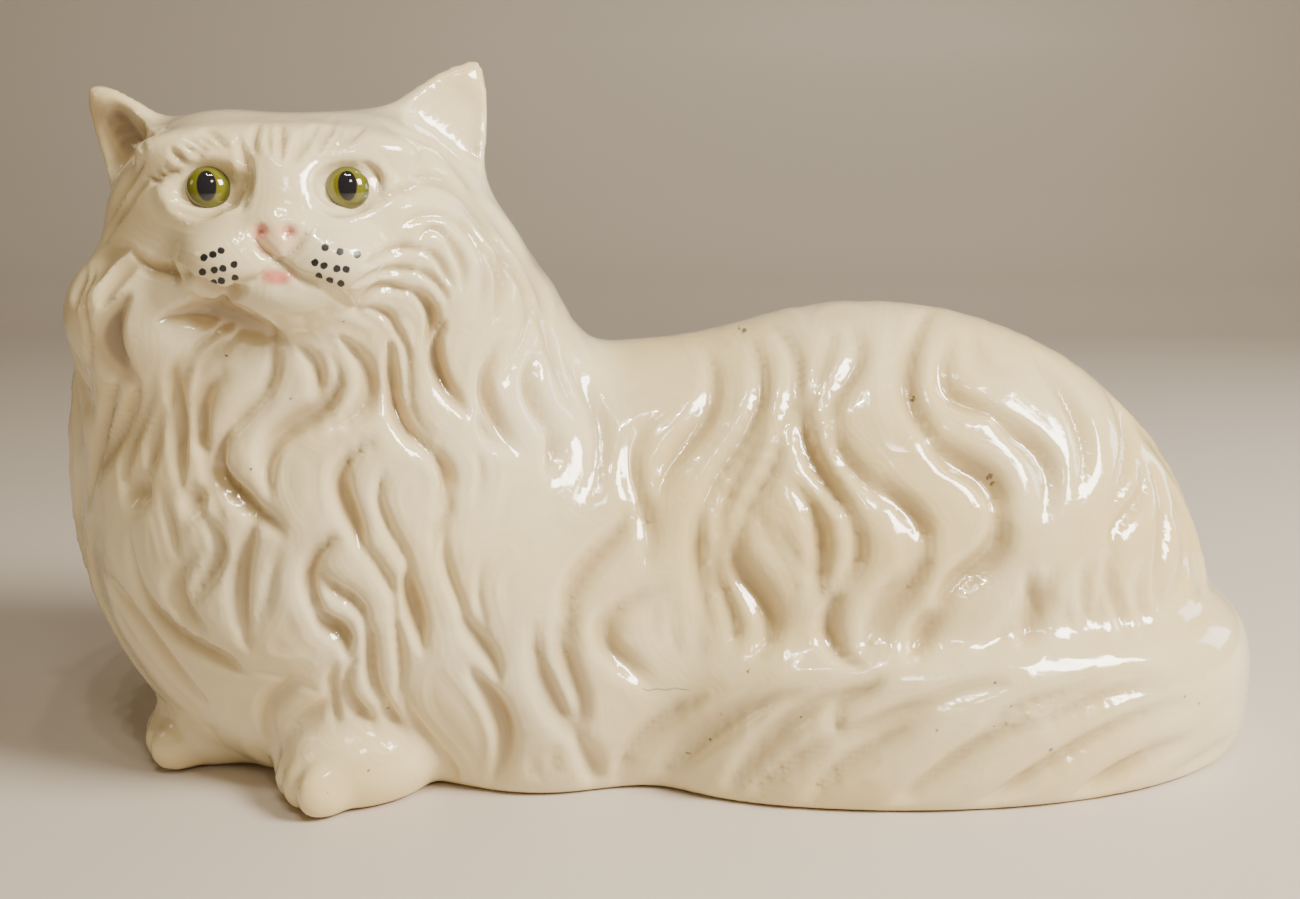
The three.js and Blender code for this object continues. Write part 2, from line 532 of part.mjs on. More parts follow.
// A first mesh of the form: in each cell of a grid, one point for each sheet of the surface that runs
// through it, joined across each grid edge that the surface crosses.
function firstMesh() {
  const lines = [0, 1, 2].map(gridLines);
  const [nx, ny, nz] = lines.map((list) => list.length);
  const between = (i, share, axis) => lines[axis][i] + share * (lines[axis][i + 1] - lines[axis][i]);
  const value = new Float32Array(nx * ny * nz);
  const index = (i, j, k) => (i * ny + j) * nz + k;
  for (let i = 0; i < nx; i++)
    for (let j = 0; j < ny; j++)
      for (let k = 0; k < nz; k++) value[index(i, j, k)] = form(lines[0][i], lines[1][j], lines[2][k]);
  const points = [];
  const cells = new Map();
  for (let i = 0; i < nx - 1; i++)
    for (let j = 0; j < ny - 1; j++)
      for (let k = 0; k < nz - 1; k++) {
        const v = CORNERS.map(([a, b, c]) => value[index(i + a, j + b, k + c)]);
        const sheet = sheetsOf(v);
        if (sheet.size === 0) continue;
        const sums = new Map();
        for (const [key, name] of sheet) {
          if (!sums.has(name)) sums.set(name, [0, 0, 0, 0]);
          const sum = sums.get(name);
          const [from, to] = [key >> 3, key & 7];
          const t = v[from] / (v[from] - v[to]);
          CORNERS[from].forEach((c, n) => (sum[n] += c + (CORNERS[to][n] - c) * t));
          sum[3]++;
        }
        const pointOf = new Map();
        for (const [name, sum] of sums) {
          pointOf.set(name, points.length);
          points.push([i, j, k].map((c, n) => between(c, sum[n] / sum[3], n)));
        }
        cells.set(index(i, j, k), { sheet, pointOf });
      }
  const triangles = [];
  for (let i = 1; i < nx - 1; i++)
    for (let j = 1; j < ny - 1; j++)
      for (let k = 1; k < nz - 1; k++)
        for (let axis = 0; axis < 3; axis++) {
          const next = [i, j, k];
          next[axis]++;
          const here = value[index(i, j, k)] < 0;
          if (here === value[index(...next)] < 0) continue;
          const u = (axis + 1) % 3;
          const w = (axis + 2) % 3;
          const corner = (du, dw) => {
            const c = [i, j, k];
            c[u] -= du;
            c[w] -= dw;
            const { sheet, pointOf } = cells.get(index(...c));
            const from = (du << u) | (dw << w);
            return pointOf.get(sheet.get(edgeKey(from, from | (1 << axis))));
          };
          const quad = [corner(1, 1), corner(0, 1), corner(0, 0), corner(1, 0)];
          if (!here) quad.reverse();
          triangles.push([quad[0], quad[1], quad[2]], [quad[0], quad[2], quad[3]]);
        }
  return { points, triangles };
}

// Points brought onto the smooth form, then moved along its outward direction by the carving.
function carve(points) {
  return points.map((start) => {
    let p = start;
    for (let n = 0; n < 3; n++) {
      const g = slopeOf(...p, 0.05);
      const step = form(...p) / Math.max(dot(g, g), 0.05);
      p = p.map((v, i) => v - g[i] * step);
    }
    const g = slopeOf(...p, 0.4);
    const size = Math.hypot(...g);
    const normal = g.map((v) => v / size);
    const h = carving(...p, normal);
    return p.map((v, i) => v + normal[i] * h);
  });
}

// Entries kept in order of their first member, the least on top.
class LeastFirst {
  entries = [];
  add(entry) {
    const list = this.entries;
    let i = list.push(entry) - 1;
    while (i > 0) {
      const parent = (i - 1) >> 1;
      if (list[parent][0] <= entry[0]) break;
      list[i] = list[parent];
      i = parent;
    }
    list[i] = entry;
  }
  take() {
    const list = this.entries;
    const top = list[0];
    const last = list.pop();
    if (list.length === 0) return top;
    let i = 0;
    for (;;) {
      let child = 2 * i + 1;
      if (child >= list.length) break;
      if (child + 1 < list.length && list[child + 1][0] < list[child][0]) child++;
      if (list[child][0] >= last[0]) break;
      list[i] = list[child];
      i = child;
    }
    list[i] = last;
    return top;
  }
}

function cross(a, b, c) {
  const [ux, uy, uz] = [b[0] - a[0], b[1] - a[1], b[2] - a[2]];
  const [vx, vy, vz] = [c[0] - a[0], c[1] - a[1], c[2] - a[2]];
  return [uy * vz - uz * vy, uz * vx - ux * vz, ux * vy - uy * vx];
}

// The ten sums that give a point's squared distance from a set of planes, weighted by their areas.
function planeSums(points, [a, b, c]) {
  const n = cross(points[a], points[b], points[c]);
  const area = Math.hypot(...n) / 2;
  const [x, y, z] = n.map((v) => v / (2 * area + 1e-12));
  const w = -dot([x, y, z], points[a]);
  return [x * x, x * y, x * z, x * w, y * y, y * z, y * w, z * z, z * w, w * w].map((v) => v * area);
}

function spread(q, [x, y, z]) {
  const squares = q[0] * x * x + q[4] * y * y + q[7] * z * z;
  const mixed = q[1] * x * y + q[2] * x * z + q[5] * y * z;
  return squares + 2 * (mixed + q[3] * x + q[6] * y + q[8] * z) + q[9];
}

// The place that is nearest to all the planes, or the better of the middle and the ends of an edge.
function bestPlace(q, a, b) {
  const flat = new THREE.Matrix3().set(q[0], q[1], q[2], q[1], q[4], q[5], q[2], q[5], q[7]);
  const middle = a.map((v, i) => (v + b[i]) / 2);
  const choices = [middle, a, b];
  const size = q[0] + q[4] + q[7];
  if (Math.abs(flat.determinant()) > 1e-5 * size ** 3) {
    const spot = new THREE.Vector3(-q[3], -q[6], -q[8]).applyMatrix3(flat.invert()).toArray();
    const reach = Math.hypot(...a.map((v, i) => v - b[i]));
    if (Math.hypot(...spot.map((v, i) => v - middle[i])) < 1.5 * reach) choices.unshift(spot);
  }
  let best = choices[0];
  for (const c of choices) if (spread(q, c) < spread(q, best) - 1e-9) best = c;
  return best;
}

// Thins a closed mesh out: edges are drawn together, the ones that matter least first, so long
// triangles are left along the grooves and small ones where the form turns.
function thinOut(points, triangles, target) {
  const sums = points.map(() => new Array(10).fill(0));
  const around = points.map(() => new Set());
  const stamp = new Int32Array(points.length);
  triangles.forEach((t, f) => {
    const q = planeSums(points, t);
    for (const v of t) {
      around[v].add(f);
      q.forEach((value, i) => (sums[v][i] += value));
    }
  });
  const queue = new LeastFirst();
  const joined = (v) => {
    const found = new Set();
    for (const f of around[v]) for (const w of triangles[f]) if (w !== v) found.add(w);
    return found;
  };
  const offer = (a, b) => {
    const q = sums[a].map((v, i) => v + sums[b][i]);
    const place = bestPlace(q, points[a], points[b]);
    const reach = Math.hypot(...points[a].map((v, i) => v - points[b][i]));
    queue.add([spread(q, place) + 2e-4 * reach ** 3, a, b, stamp[a], stamp[b], place]);
  };
  points.forEach((_, a) => joined(a).forEach((b) => a < b && offer(a, b)));
  const staysUpright = (v, other, place) => {
    for (const f of around[v]) {
      const t = triangles[f];
      if (t.includes(other)) continue;
      const before = cross(...t.map((w) => points[w]));
      const after = cross(...t.map((w) => (w === v ? place : points[w])));
      const size = Math.hypot(...before) * Math.hypot(...after);
      if (dot(before, after) < 0.35 * size || Math.hypot(...after) < 0.05) return false;
    }
    return true;
  };
  let left = triangles.length;
  while (left > target && queue.entries.length) {
    const [, a, b, stampA, stampB, place] = queue.take();
    if (stamp[a] !== stampA || stamp[b] !== stampB) continue;
    const besideB = joined(b);
    const shared = [...joined(a)].filter((v) => besideB.has(v)).length;
    if (shared !== 2 || !staysUpright(a, b, place) || !staysUpright(b, a, place)) continue;
    points[a] = place;
    sums[a] = sums[a].map((v, i) => v + sums[b][i]);
    for (const f of [...around[b]]) {
      if (triangles[f].includes(a)) {
        for (const v of triangles[f]) around[v].delete(f);
        triangles[f] = null;
        left--;
      } else {
        triangles[f] = triangles[f].map((v) => (v === b ? a : v));
        around[a].add(f);
      }
    }
    around[b].clear();
    stamp[b] = -1;
    stamp[a]++;
    joined(a).forEach((v) => offer(a, v));
  }
  return triangles.filter((t) => t);
}

const library = await Module();
library.setup();

function solidOf(geometry) {
  const bare = geometry.clone();
  bare.deleteAttribute("normal");
  bare.deleteAttribute("uv");
  const merged = mergeVertices(bare, 1e-3);
  const vertProperties = new Float32Array(merged.attributes.position.array);
  const triVerts = new Uint32Array(merged.index.array);
  return new library.Manifold(new library.Mesh({ numProp: 3, vertProperties, triVerts }));
}

function geometryOf(solid) {
  const mesh = solid.getMesh();
  const geometry = new THREE.BufferGeometry();
  geometry.setAttribute("position", new THREE.BufferAttribute(mesh.vertProperties, 3));
  geometry.setIndex(new THREE.BufferAttribute(mesh.triVerts, 1));
  geometry.computeVertexNormals();
  return geometry;
}

// A glass eye: a round disc with a domed front, on its axis from the back, looking along the face.
function eyeGeometry(side, outline) {
  const geometry = new THREE.LatheGeometry(outline, 24);
  const place = new THREE.Vector3(...fromFace([(side * EYE_APART) / 2, EYE_UP, EYE_FORWARD]));
  const across = new THREE.Vector3(...RIGHT);
  const ahead = new THREE.Vector3(...FORWARD);
  const third = new THREE.Vector3().crossVectors(across, ahead);
  return geometry.applyMatrix4(new THREE.Matrix4().makeBasis(across, ahead, third).setPosition(place));
}

function eyeOutline() {
  const dome = new THREE.EllipseCurve(0, EYE_SIDE_WALL, EYE_RADIUS, EYE_DOME, 0, Math.PI / 2);
  const front = dome.getPoints(4);
  front[front.length - 1].x = 0;
  return [new THREE.Vector2(0, 0), new THREE.Vector2(EYE_RADIUS, 0), ...front];
}

function socketOutline() {
  const radius = EYE_RADIUS + FIT_GAP;
  const open = EYE_SIDE_WALL + EYE_DOME + 10;
  const corners = [
    [0, -FIT_GAP],
    [radius, -FIT_GAP],
    [radius, open],
    [0, open],
  ];
  return corners.map(([x, y]) => new THREE.Vector2(x, y));
}

function bodyGeometry() {
  const first = firstMesh();
  const points = carve(first.points);
  const triangles = thinOut(points, first.triangles, BODY_TRIANGLES);
  const whole = new THREE.BufferGeometry();
  whole.setAttribute("position", new THREE.Float32BufferAttribute(points.flat(), 3));
  whole.setIndex(triangles.flat());
  const below = new THREE.BoxGeometry(700, 500, 80).translate(0, 0, -40);
  let solid = solidOf(whole).subtract(solidOf(below));
  for (const side of [-1, 1]) solid = solid.subtract(solidOf(eyeGeometry(side, socketOutline())));
  return geometryOf(solid);
}

function piece(name, geometry, material) {
  const mesh = new THREE.Mesh(geometry.translate(...TO_MIDDLE), material);
  mesh.name = name;
  return mesh;
}

const glaze = new THREE.MeshStandardMaterial({ color: 0xe6d9bd, roughness: 0.12, metalness: 0 });
const leftGlass = new THREE.MeshStandardMaterial({ color: 0x7c8021, roughness: 0.04, metalness: 0 });
const rightGlass = leftGlass.clone();

const cat = new THREE.Group();
cat.add(piece("cat_body", bodyGeometry(), glaze));
cat.add(piece("left_eye", eyeGeometry(1, eyeOutline()), leftGlass));
cat.add(piece("right_eye", eyeGeometry(-1, eyeOutline()), rightGlass));

export default cat;
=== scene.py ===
import bpy
import numpy as np
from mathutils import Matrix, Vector


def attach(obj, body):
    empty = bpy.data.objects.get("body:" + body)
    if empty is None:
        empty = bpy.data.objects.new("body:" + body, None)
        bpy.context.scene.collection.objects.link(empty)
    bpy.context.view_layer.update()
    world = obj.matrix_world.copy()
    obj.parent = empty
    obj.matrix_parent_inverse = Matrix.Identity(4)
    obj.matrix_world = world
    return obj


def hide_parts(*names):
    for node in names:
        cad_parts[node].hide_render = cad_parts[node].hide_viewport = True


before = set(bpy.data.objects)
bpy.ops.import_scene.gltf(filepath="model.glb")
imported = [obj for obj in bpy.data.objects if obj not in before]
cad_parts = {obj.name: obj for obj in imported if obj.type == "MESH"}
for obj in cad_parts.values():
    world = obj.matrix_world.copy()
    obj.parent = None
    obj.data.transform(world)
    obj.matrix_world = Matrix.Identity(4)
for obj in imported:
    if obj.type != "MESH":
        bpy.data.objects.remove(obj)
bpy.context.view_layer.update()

# Driving dimensions, in millimetres, of which METRE make a metre. The cat is worked out in a frame of
# its own and moved by TO_MIDDLE at the end, so that the middle of its box stands over the origin.
TO_MIDDLE = np.array([-10.35, 11.13, 0.0])
METRE = 1000.0

TRUNK = {"at": (85, 10, 40), "half": (142, 80, 131)}
LOIN = {"at": (-20, 14, 62), "half": (92, 72, 92)}
CHEST = {"at": (-118, -8, 105), "half": (102, 84, 122)}
ELBOW = {"at": (-40, -16, 40), "half": (66, 60, 75)}
RUFF = {"at": (-174, -36, 150), "half": (24, 32, 42)}
LOIN_BLEND = 26
ELBOW_BLEND = 24
RUFF_BLEND = 20
CHEST_BLEND = 16
FOOT_ROUNDING = 3

# The tail lies on an oval path round the hind quarters. Between two bearings on the path, in degrees, it
# grows from a share of its size and of its middle's height to the full ones, and between two more it thins.
TAIL_AT = (90, 5)
TAIL_PATH = (127, 66)
TAIL_WIDE = 23
TAIL_TALL = 34
TAIL_MIDDLE = 24
TAIL_SQUARENESS = 2.6
TAIL_BLEND = 7
TAIL_THIN = 0.25
TAIL_LOW = 0.6
TAIL_GROWS = (-168, -105)
TAIL_THINS = (25, 75)

# The head is turned a little to its left and tipped back.
HEAD_AT = np.array([-122.0, -56.0, 204.0])
HEAD_TURN = np.radians(12)
HEAD_TIP = np.radians(12)
HEAD_BLEND = 24
SKULL_HALF = (57, 35, 46)

# Masses added to the skull, as right, up and forward of its middle. Those off the middle stand on both
# sides, except the cheeks and the crown: the left cheek is narrow, the right one runs out over the neck.
# The eye openings are scooped out before the last set is added.
LEFT_CHEEK = {"at": (-41, -31, 0), "half": (30, 26, 32), "blend": 12}
RIGHT_CHEEK = {"at": (42, -14, -6), "half": (35, 30, 34), "blend": 14}
LEFT_CROWN = {"at": (-22, 15, -4), "half": (22, 19, 30), "blend": 12}
RIGHT_CROWN = {"at": (30, 17, -4), "half": (27, 18, 30), "blend": 12}
MUZZLE = {"at": (0, -16, 26), "half": (28, 20, 20), "blend": 10}
BROW = {"at": (21, 16.5, 31), "half": (21, 6, 8), "blend": 9}
EYE_OPENING = {"at": (21.5, 4, 46), "half": (13, 9, 11), "blend": 4}
EYEBALL = {"at": (20.8, 4, 26), "half": (13.5, 12, 13), "blend": 1}
BRIDGE = {"at": (0, 2, 35), "half": (8.5, 18, 10), "blend": 8}
WHISKER_PAD = {"at": (14.5, -19.5, 38), "half": (16, 10.5, 13), "blend": 8}
NOSE = {"at": (0, -10, 43.5), "half": (9, 5.5, 6.5), "blend": 4}
NOSE_TIP = {"at": (0, -15, 42.5), "half": (4, 6.5, 6.5), "blend": 3}
CHIN = {"at": (0, -29.5, 34), "half": (12.5, 6.5, 11), "blend": 6}

# Glass eyes, and the seats they stand in. The back is a share of the radius, the dome is made of so many
# rings, and each ring has a corner every few degrees.
EYE_APART = 41.6
EYE_UP = 4
EYE_RADIUS = 6.8
EYE_FORWARD = 33
EYE_SIDE_WALL = 3.6
EYE_DOME = 4.6
EYE_BACK = 0.98
EYE_RINGS = 12
EYE_TURN = 6
SEAT = {"at": (20.8, 4, 40), "half": (6, 6, 5.5), "blend": 0.6}

# Ears: base and tip as right, up and forward of the middle of the head, and how far each turns out. The
# scoop and the painted shade in it fade in and out at shares of the way to the tip, and across the lip of the
# open side. The painted shade in the hollow of each ear is given as the depth of a groove that is as dark.
EARS = (
    {"base": (-44, 22, -6), "tip": (-60, 45, -4), "side": -1, "turn": 0.75, "half": 14},
    {"base": (49, 26, -6), "tip": (66, 56, -8), "side": 1, "turn": 0.35, "half": 19},
)
EAR_THICK = 9
EAR_EDGE = 2.4
EAR_BLEND = 8
EAR_SCOOP = 0.95
EAR_POINT = 0.72
EAR_HOLLOW = {"starts": (-0.1, 0.15), "ends": (0.55, 0.85), "width": 0.8, "lip": (0, 4)}
EAR_INSIDE = {"starts": (-0.1, 0.2), "ends": (0.6, 0.95), "width": 0.85, "lip": (-2, 1), "deep": 12}
EAR_BELOW_BASE = -0.3
EAR_SHADE = (8, 0.6)

# Front paws: place of each and the bearing its toes point to.
PAWS = (
    {"at": (-108, -63), "bearing": np.radians(212)},
    {"at": (-168, -28), "bearing": np.radians(200)},
)
PAW = {"ahead": -6, "up": 13, "half": (30, 22, 20), "blend": 5}
TOE = {"ahead": 17, "up": 9.5, "half": (10.5, 6.2, 10), "gap": 9, "back": 2, "blend": 3}
TOES = (-1.5, -0.5, 0.5, 1.5)

# Grooves between the locks, on the drawing, in millimetres right and up of its middle: from right,
# from up, to right, to up, bend at a third, bend at two thirds, half width, depth.
FLANK_GROOVES = (
    (23, 28.5, 3.5, -13.5, 4, 1, 4, 3.5),
    (-3.5, 7.5, -1.5, -39, -4, -0.5, 2.3, 3),
    (-8.5, -23.5, -29, -69, -3.5, -7, 3.5, 4),
    (-4.5, -54, -3, -84, -12, -10, 4, 4),
    (30.5, 24, 14.5, -10.5, 3.5, 1.5, 1.5, 1.5),
    (40, 31, 19, -23.5, 4.5, 1, 2.5, 3.5),
    (18.5, -21.5, 21.5, -63.5, -3, -2.5, 2.5, 3.5),
    (40, 7.5, 25.5, -34, -2, -3.5, 2.2, 3),
    (25.5, -32.5, 30.5, -69, -3.5, -1, 2.7, 3.5),
    (49, 40.5, 48, 4, 5, 3, 2.5, 2.5),
    (47, 4, 31.5, -33.5, 1, -1, 1.8, 3),
    (31.5, -32.5, 42.5, -70.5, -1.5, 3, 4, 4.5),
    (54.5, 19.5, 72.5, -23.5, -4.5, -3.5, 3, 4.5),
    (71.5, -22.5, 68, -53.5, 6, 5.5, 2.2, 3.5),
    (68, -52.5, 73.5, -78, -5.5, -5.5, 3, 4),
    (54.5, -14, 61.5, -54, 4.5, 3.5, 2.7, 4),
    (47, -29.5, 59, -49.5, 0, 0.5, 1, 2),
    (40, -21.5, 53.5, -54, -1.5, 0.5, 1.2, 1.6),
    (36, -40.5, 44.5, -59, -0.5, 0.5, 1, 1.2),
    (75.5, 40.5, 67, 9.5, 1, -2.5, 2.5, 3),
    (67, 11, 84.5, -20.5, -3.5, -1.5, 2.2, 3),
    (65.5, 40.5, 60, 6, -1.5, -2.5, 2, 2),
    (79, -72.5, 94.5, -44, 3, 2.5, 2.4, 3.5),
    (3.5, -52.5, 6, -74, -3, -3, 1, 1),
    (10, -54, 12.5, -78, -3.5, -3, 1, 1),
    (16, -55, 16.5, -77, 1, 1.5, 1.2, 1.5),
    (-27.5, 31, -21, -14, 5, 5.5, 3, 2.5),
)
RUMP_GROOVES = (
    (98.5, 47, 105, 2, -7, -7.5, 2.8, 4),
    (104, 3, 128, -25.5, 3.5, 6.5, 4.5, 5),
    (128, -23.5, 107, -60, 6, 1.5, 5, 5),
    (108, -58, 95.5, -75.5, -1.5, -1.5, 4, 4),
    (107, 34.5, 127, 12.5, -7.5, -5, 3, 3.5),
    (126, 13.5, 147, -18, 4.5, 6.5, 3, 4),
    (129, 5, 143.5, -23, 5, 4.5, 1, 2),
    (116.5, 41.5, 129, 29, -3, -3.5, 3, 1.5),
    (84, -12, 101, -37, 2.5, 4, 3, 4),
    (101, -36, 85, -68.5, 2, 0, 3, 4),
    (86, -23, 92.5, -49.5, 6, 5, 1.2, 2),
    (139.5, -47.5, 137.5, -70.5, 3.5, 3, 3.5, 4.5),
    (135.5, -56, 122.5, -72.5, 3.5, 2.5, 1.5, 2.5),
    (145, 31, 158.5, -10.5, 4.5, 5.5, 2.5, 3),
    (170, 18.5, 168, -23.5, 6.5, 5.5, 2, 2.6),
    (181.5, -6.5, 170, -37, 2.5, -1, 2, 3.2),
    (169.5, -36, 173, -66, -2.5, -1, 2, 2.5),
    (185.5, -8.5, 186.5, -54.5, 3.5, 2, 2, 2.5),
    (194, -24.5, 190, -56, 4.5, 4.5, 1.6, 2),
    (161.5, -42, 158.5, -66.5, -1, 1, 2.2, 2.5),
    (164.5, -47.5, 163.5, -67.5, 1.5, 1.5, 1.2, 2),
    (180.5, -42, 180.5, -66.5, -2, -1, 1.5, 1.5),
    (147, -44, 150, -63, -2, -1, 1.3, 2),
    (153, -54.5, 154.5, -66.5, -1, -1, 1, 1.5),
    (115.5, -54.5, 103, -70.5, -0.5, -0.5, 1, 1.5),
    (121.5, -52.5, 108, -70.5, 1.5, 1, 1, 1),
    (90, 46, 90, 10.5, -2, -3, 1.5, 1.5),
)
CHEST_GROOVES = (
    (-166, 42, -173, -2.5, -5.5, -2.5, 2.2, 3.5),
    (-152, 40, -165, 17.5, -3.5, -4, 1.8, 2),
    (-157, 26, -164.5, -2.5, -4.5, -3.5, 2.4, 3.5),
    (-137.5, 37.5, -157, 3.5, 5, 3, 2.2, 3),
    (-157, 4, -143.5, -25, -7.5, -4.5, 2.8, 5),
    (-115, 23.5, -141.5, -8.5, -1, -5, 4.5, 4.5),
    (-107.5, 36, -114, 8.5, 8, 7.5, 3.4, 4),
    (-126, 36, -124, 17, 3.5, 3.5, 2.1, 3),
    (-115.5, 32, -119, 12.5, 3.5, 3, 1.4, 2),
    (-106.5, 0, -107.5, -33.5, -7, -4.5, 2.6, 4.5),
    (-98, -11, -94, -32.5, -2.5, -1.5, 1.3, 3),
    (-196.5, 23.5, -205.5, -16, 0, -1, 1, 1.5),
    (-188, 22.5, -201.5, -7.5, 2.5, 1.5, 1.2, 2),
    (-182, 26, -192, -7.5, 1, -1, 1.6, 2.2),
    (-178.5, 14, -184.5, -7.5, -0.5, 0.5, 1.5, 2),
    (-192, -14, -184, -17, 0, 0, 5.5, 3),
    (-170.5, -17, -163.5, -21, 0, 0, 5, 3),
    (-178, -20, -173.5, -37, 0, 0, 1.2, 2),
    (-190, -41.5, -153.5, -80, -7, -6, 1.6, 3),
    (-197.5, -49.5, -167, -88.5, -0.5, -1, 1.6, 2.5),
    (-178, -62, -151.5, -80, -2, -1, 1.5, 3),
    (-168.5, -40, -166, -65.5, -7, -6, 3, 3),
    (-161, -28, -167, -54.5, 5, 3.5, 2.5, 3.5),
    (-145.5, -28, -149, -68, -3.5, -3.5, 3, 4),
    (-153.5, -16, -135.5, -29.5, -1, -0.5, 2.2, 4),
    (-135.5, -39, -145.5, -64.5, 0.5, 2, 1.5, 2),
    (-116, -33, -121, -62, -6.5, -6, 2.5, 4),
    (-121.5, -60.5, -110, -74, 0, 1.5, 3, 4.5),
    (-121, -45, -103.5, -65.5, 0, 2.5, 2, 3.5),
    (-103.5, -64.5, -97, -93.5, -1, -2.5, 2, 3.5),
    (-98, -92, -77.5, -120, -1.5, 0, 2, 3),
    (-111.5, -11, -105.5, -36.5, -1.5, -0.5, 2.5, 4),
    (-105.5, -33, -93, -62, 1.5, 3, 1.6, 2.5),
    (-99, -16, -87, -47.5, -2, 0, 1.4, 2.5),
    (-88.5, -46, -83.5, -71.5, -0.5, 0, 3, 4.5),
    (-94, -59.5, -91.5, -89.5, 1.5, 1.5, 1.5, 2.5),
    (-109, -79, -99, -104.5, -6, -4, 2, 3),
    (-116, -81, -115, -100.5, -1, -0.5, 1.8, 3),
    (-130.5, -85, -139, -104.5, -3.5, -4.5, 3, 2.5),
    (-116, -88.5, -133, -108, 1, -1, 2.5, 2),
    (-147.5, -81, -118.5, -91, 2, 2, 0.9, 1),
    (-177.5, 51.5, -180.5, 30.5, -2, -1, 2.2, 3),
    (-158, 42.5, -172.5, 19.5, -3, -2, 1.8, 3),
    (-202, 45, -197.5, 33, 3, 2.5, 4.5, 3),
    (-185, 11.5, -192.5, -13.5, -2.5, -2.5, 1.3, 2),
    (-179, 13.5, -184, -2.5, 0, 0, 1.5, 1.8),
    (-172, 42.5, -174.5, 14, -2, -2.5, 1.5, 1.8),
    (-174.5, 19, -172, -10.5, -0.5, -0.5, 2.2, 2.5),
    (-154.5, 34.5, -164, 9.5, -3, -4.5, 1.4, 1.5),
    (-162.5, 3, -157.5, -24, -2.5, -2.5, 1.4, 2),
)
SHOULDER_GROOVES = (
    (-75, -33, -67.5, -64.5, -1.5, -0.5, 1.5, 2.5),
    (-68.5, -60.5, -55.5, -82.5, 0, 1, 3, 3.5),
    (-72.5, -18, -79, -35, 1, 0, 1.6, 2.5),
    (-64, -83.5, -55.5, -119, 4.5, 5.5, 3.5, 4),
    (-30.5, -59.5, -25.5, -103, -3, 0.5, 3, 4),
    (-42.5, -69, -25.5, -108, -3.5, -3, 3.5, 4),
    (-26.5, -105.5, -19, -127.5, 1.5, 2, 3, 3),
    (-61, -43.5, -59, -69, -2.5, -1.5, 1, 1.5),
    (-89.5, -91, -70, -126, -1.5, 1, 1.6, 2),
    (-41, -110.5, -40, -121, -1.5, -1.5, 1, 1.5),
    (-34, -109, -34, -120, -2, -1, 1, 1.5),
    (-95, 34.5, -80.5, 0, -4, -5, 2.6, 5),
    (-81.5, 1, -76, -20.5, 4.5, 5, 2.2, 4),
    (-56, 34.5, -50, 1.5, -5.5, -4, 2.2, 4.5),
    (-61.5, 13, -51.5, 1, -2, -1.5, 2.5, 3),
    (-40.5, 34.5, -35, 6, -4.5, -3, 2, 4),
    (-35.5, 7.5, -36, -8, 2, 1.5, 1.6, 4),
    (-43.5, 54, -53, 25.5, 3.5, 2, 1.6, 2),
    (-65, 0, -63.5, -18.5, 3, 2.5, 1, 1.5),
)
TAIL_GROOVES = (
    (-13, -123, 15.5, -92, 4.5, 4, 2.1, 3),
    (2.5, -119.5, 35.5, -89.5, 3, 1.5, 2.2, 2.2),
    (5, -119, 50.5, -89.5, 2.5, 3, 3.4, 3.3),
    (28.5, -124, 70.5, -88.5, 3.5, 3.5, 4.5, 3.2),
    (68, -103, 82.5, -84.5, 5, 2.5, 2.8, 3.8),
    (67.5, -105.5, 112.5, -91, 0, 1, 3.1, 3.3),
    (59, -126.5, 101, -97, 1.5, 0.5, 2.8, 3.3),
    (35.5, -127.5, 67.5, -105.5, 1, 1, 2.1, 2.7),
    (92, -129, 143, -100.5, 2, 3, 2.8, 3.9),
    (139.5, -101.5, 182.5, -86.5, 0.5, 1.5, 2.8, 3),
    (120, -107.5, 160.5, -85, 3.5, 1.5, 2.1, 3),
    (91.5, -94.5, 127.5, -86, -0.5, 0.5, 3.4, 2.4),
    (115.5, -133, 188, -95, 0, 1.5, 2.2, 3.6),
    (147.5, -132, 193, -108, -0.5, 0.5, 2.2, 3.6),
    (182.5, -126.5, 210.5, -108, -1, -1.5, 2.1, 3),
)
COAT_GROOVES = FLANK_GROOVES + RUMP_GROOVES + CHEST_GROOVES + SHOULDER_GROOVES + TAIL_GROOVES

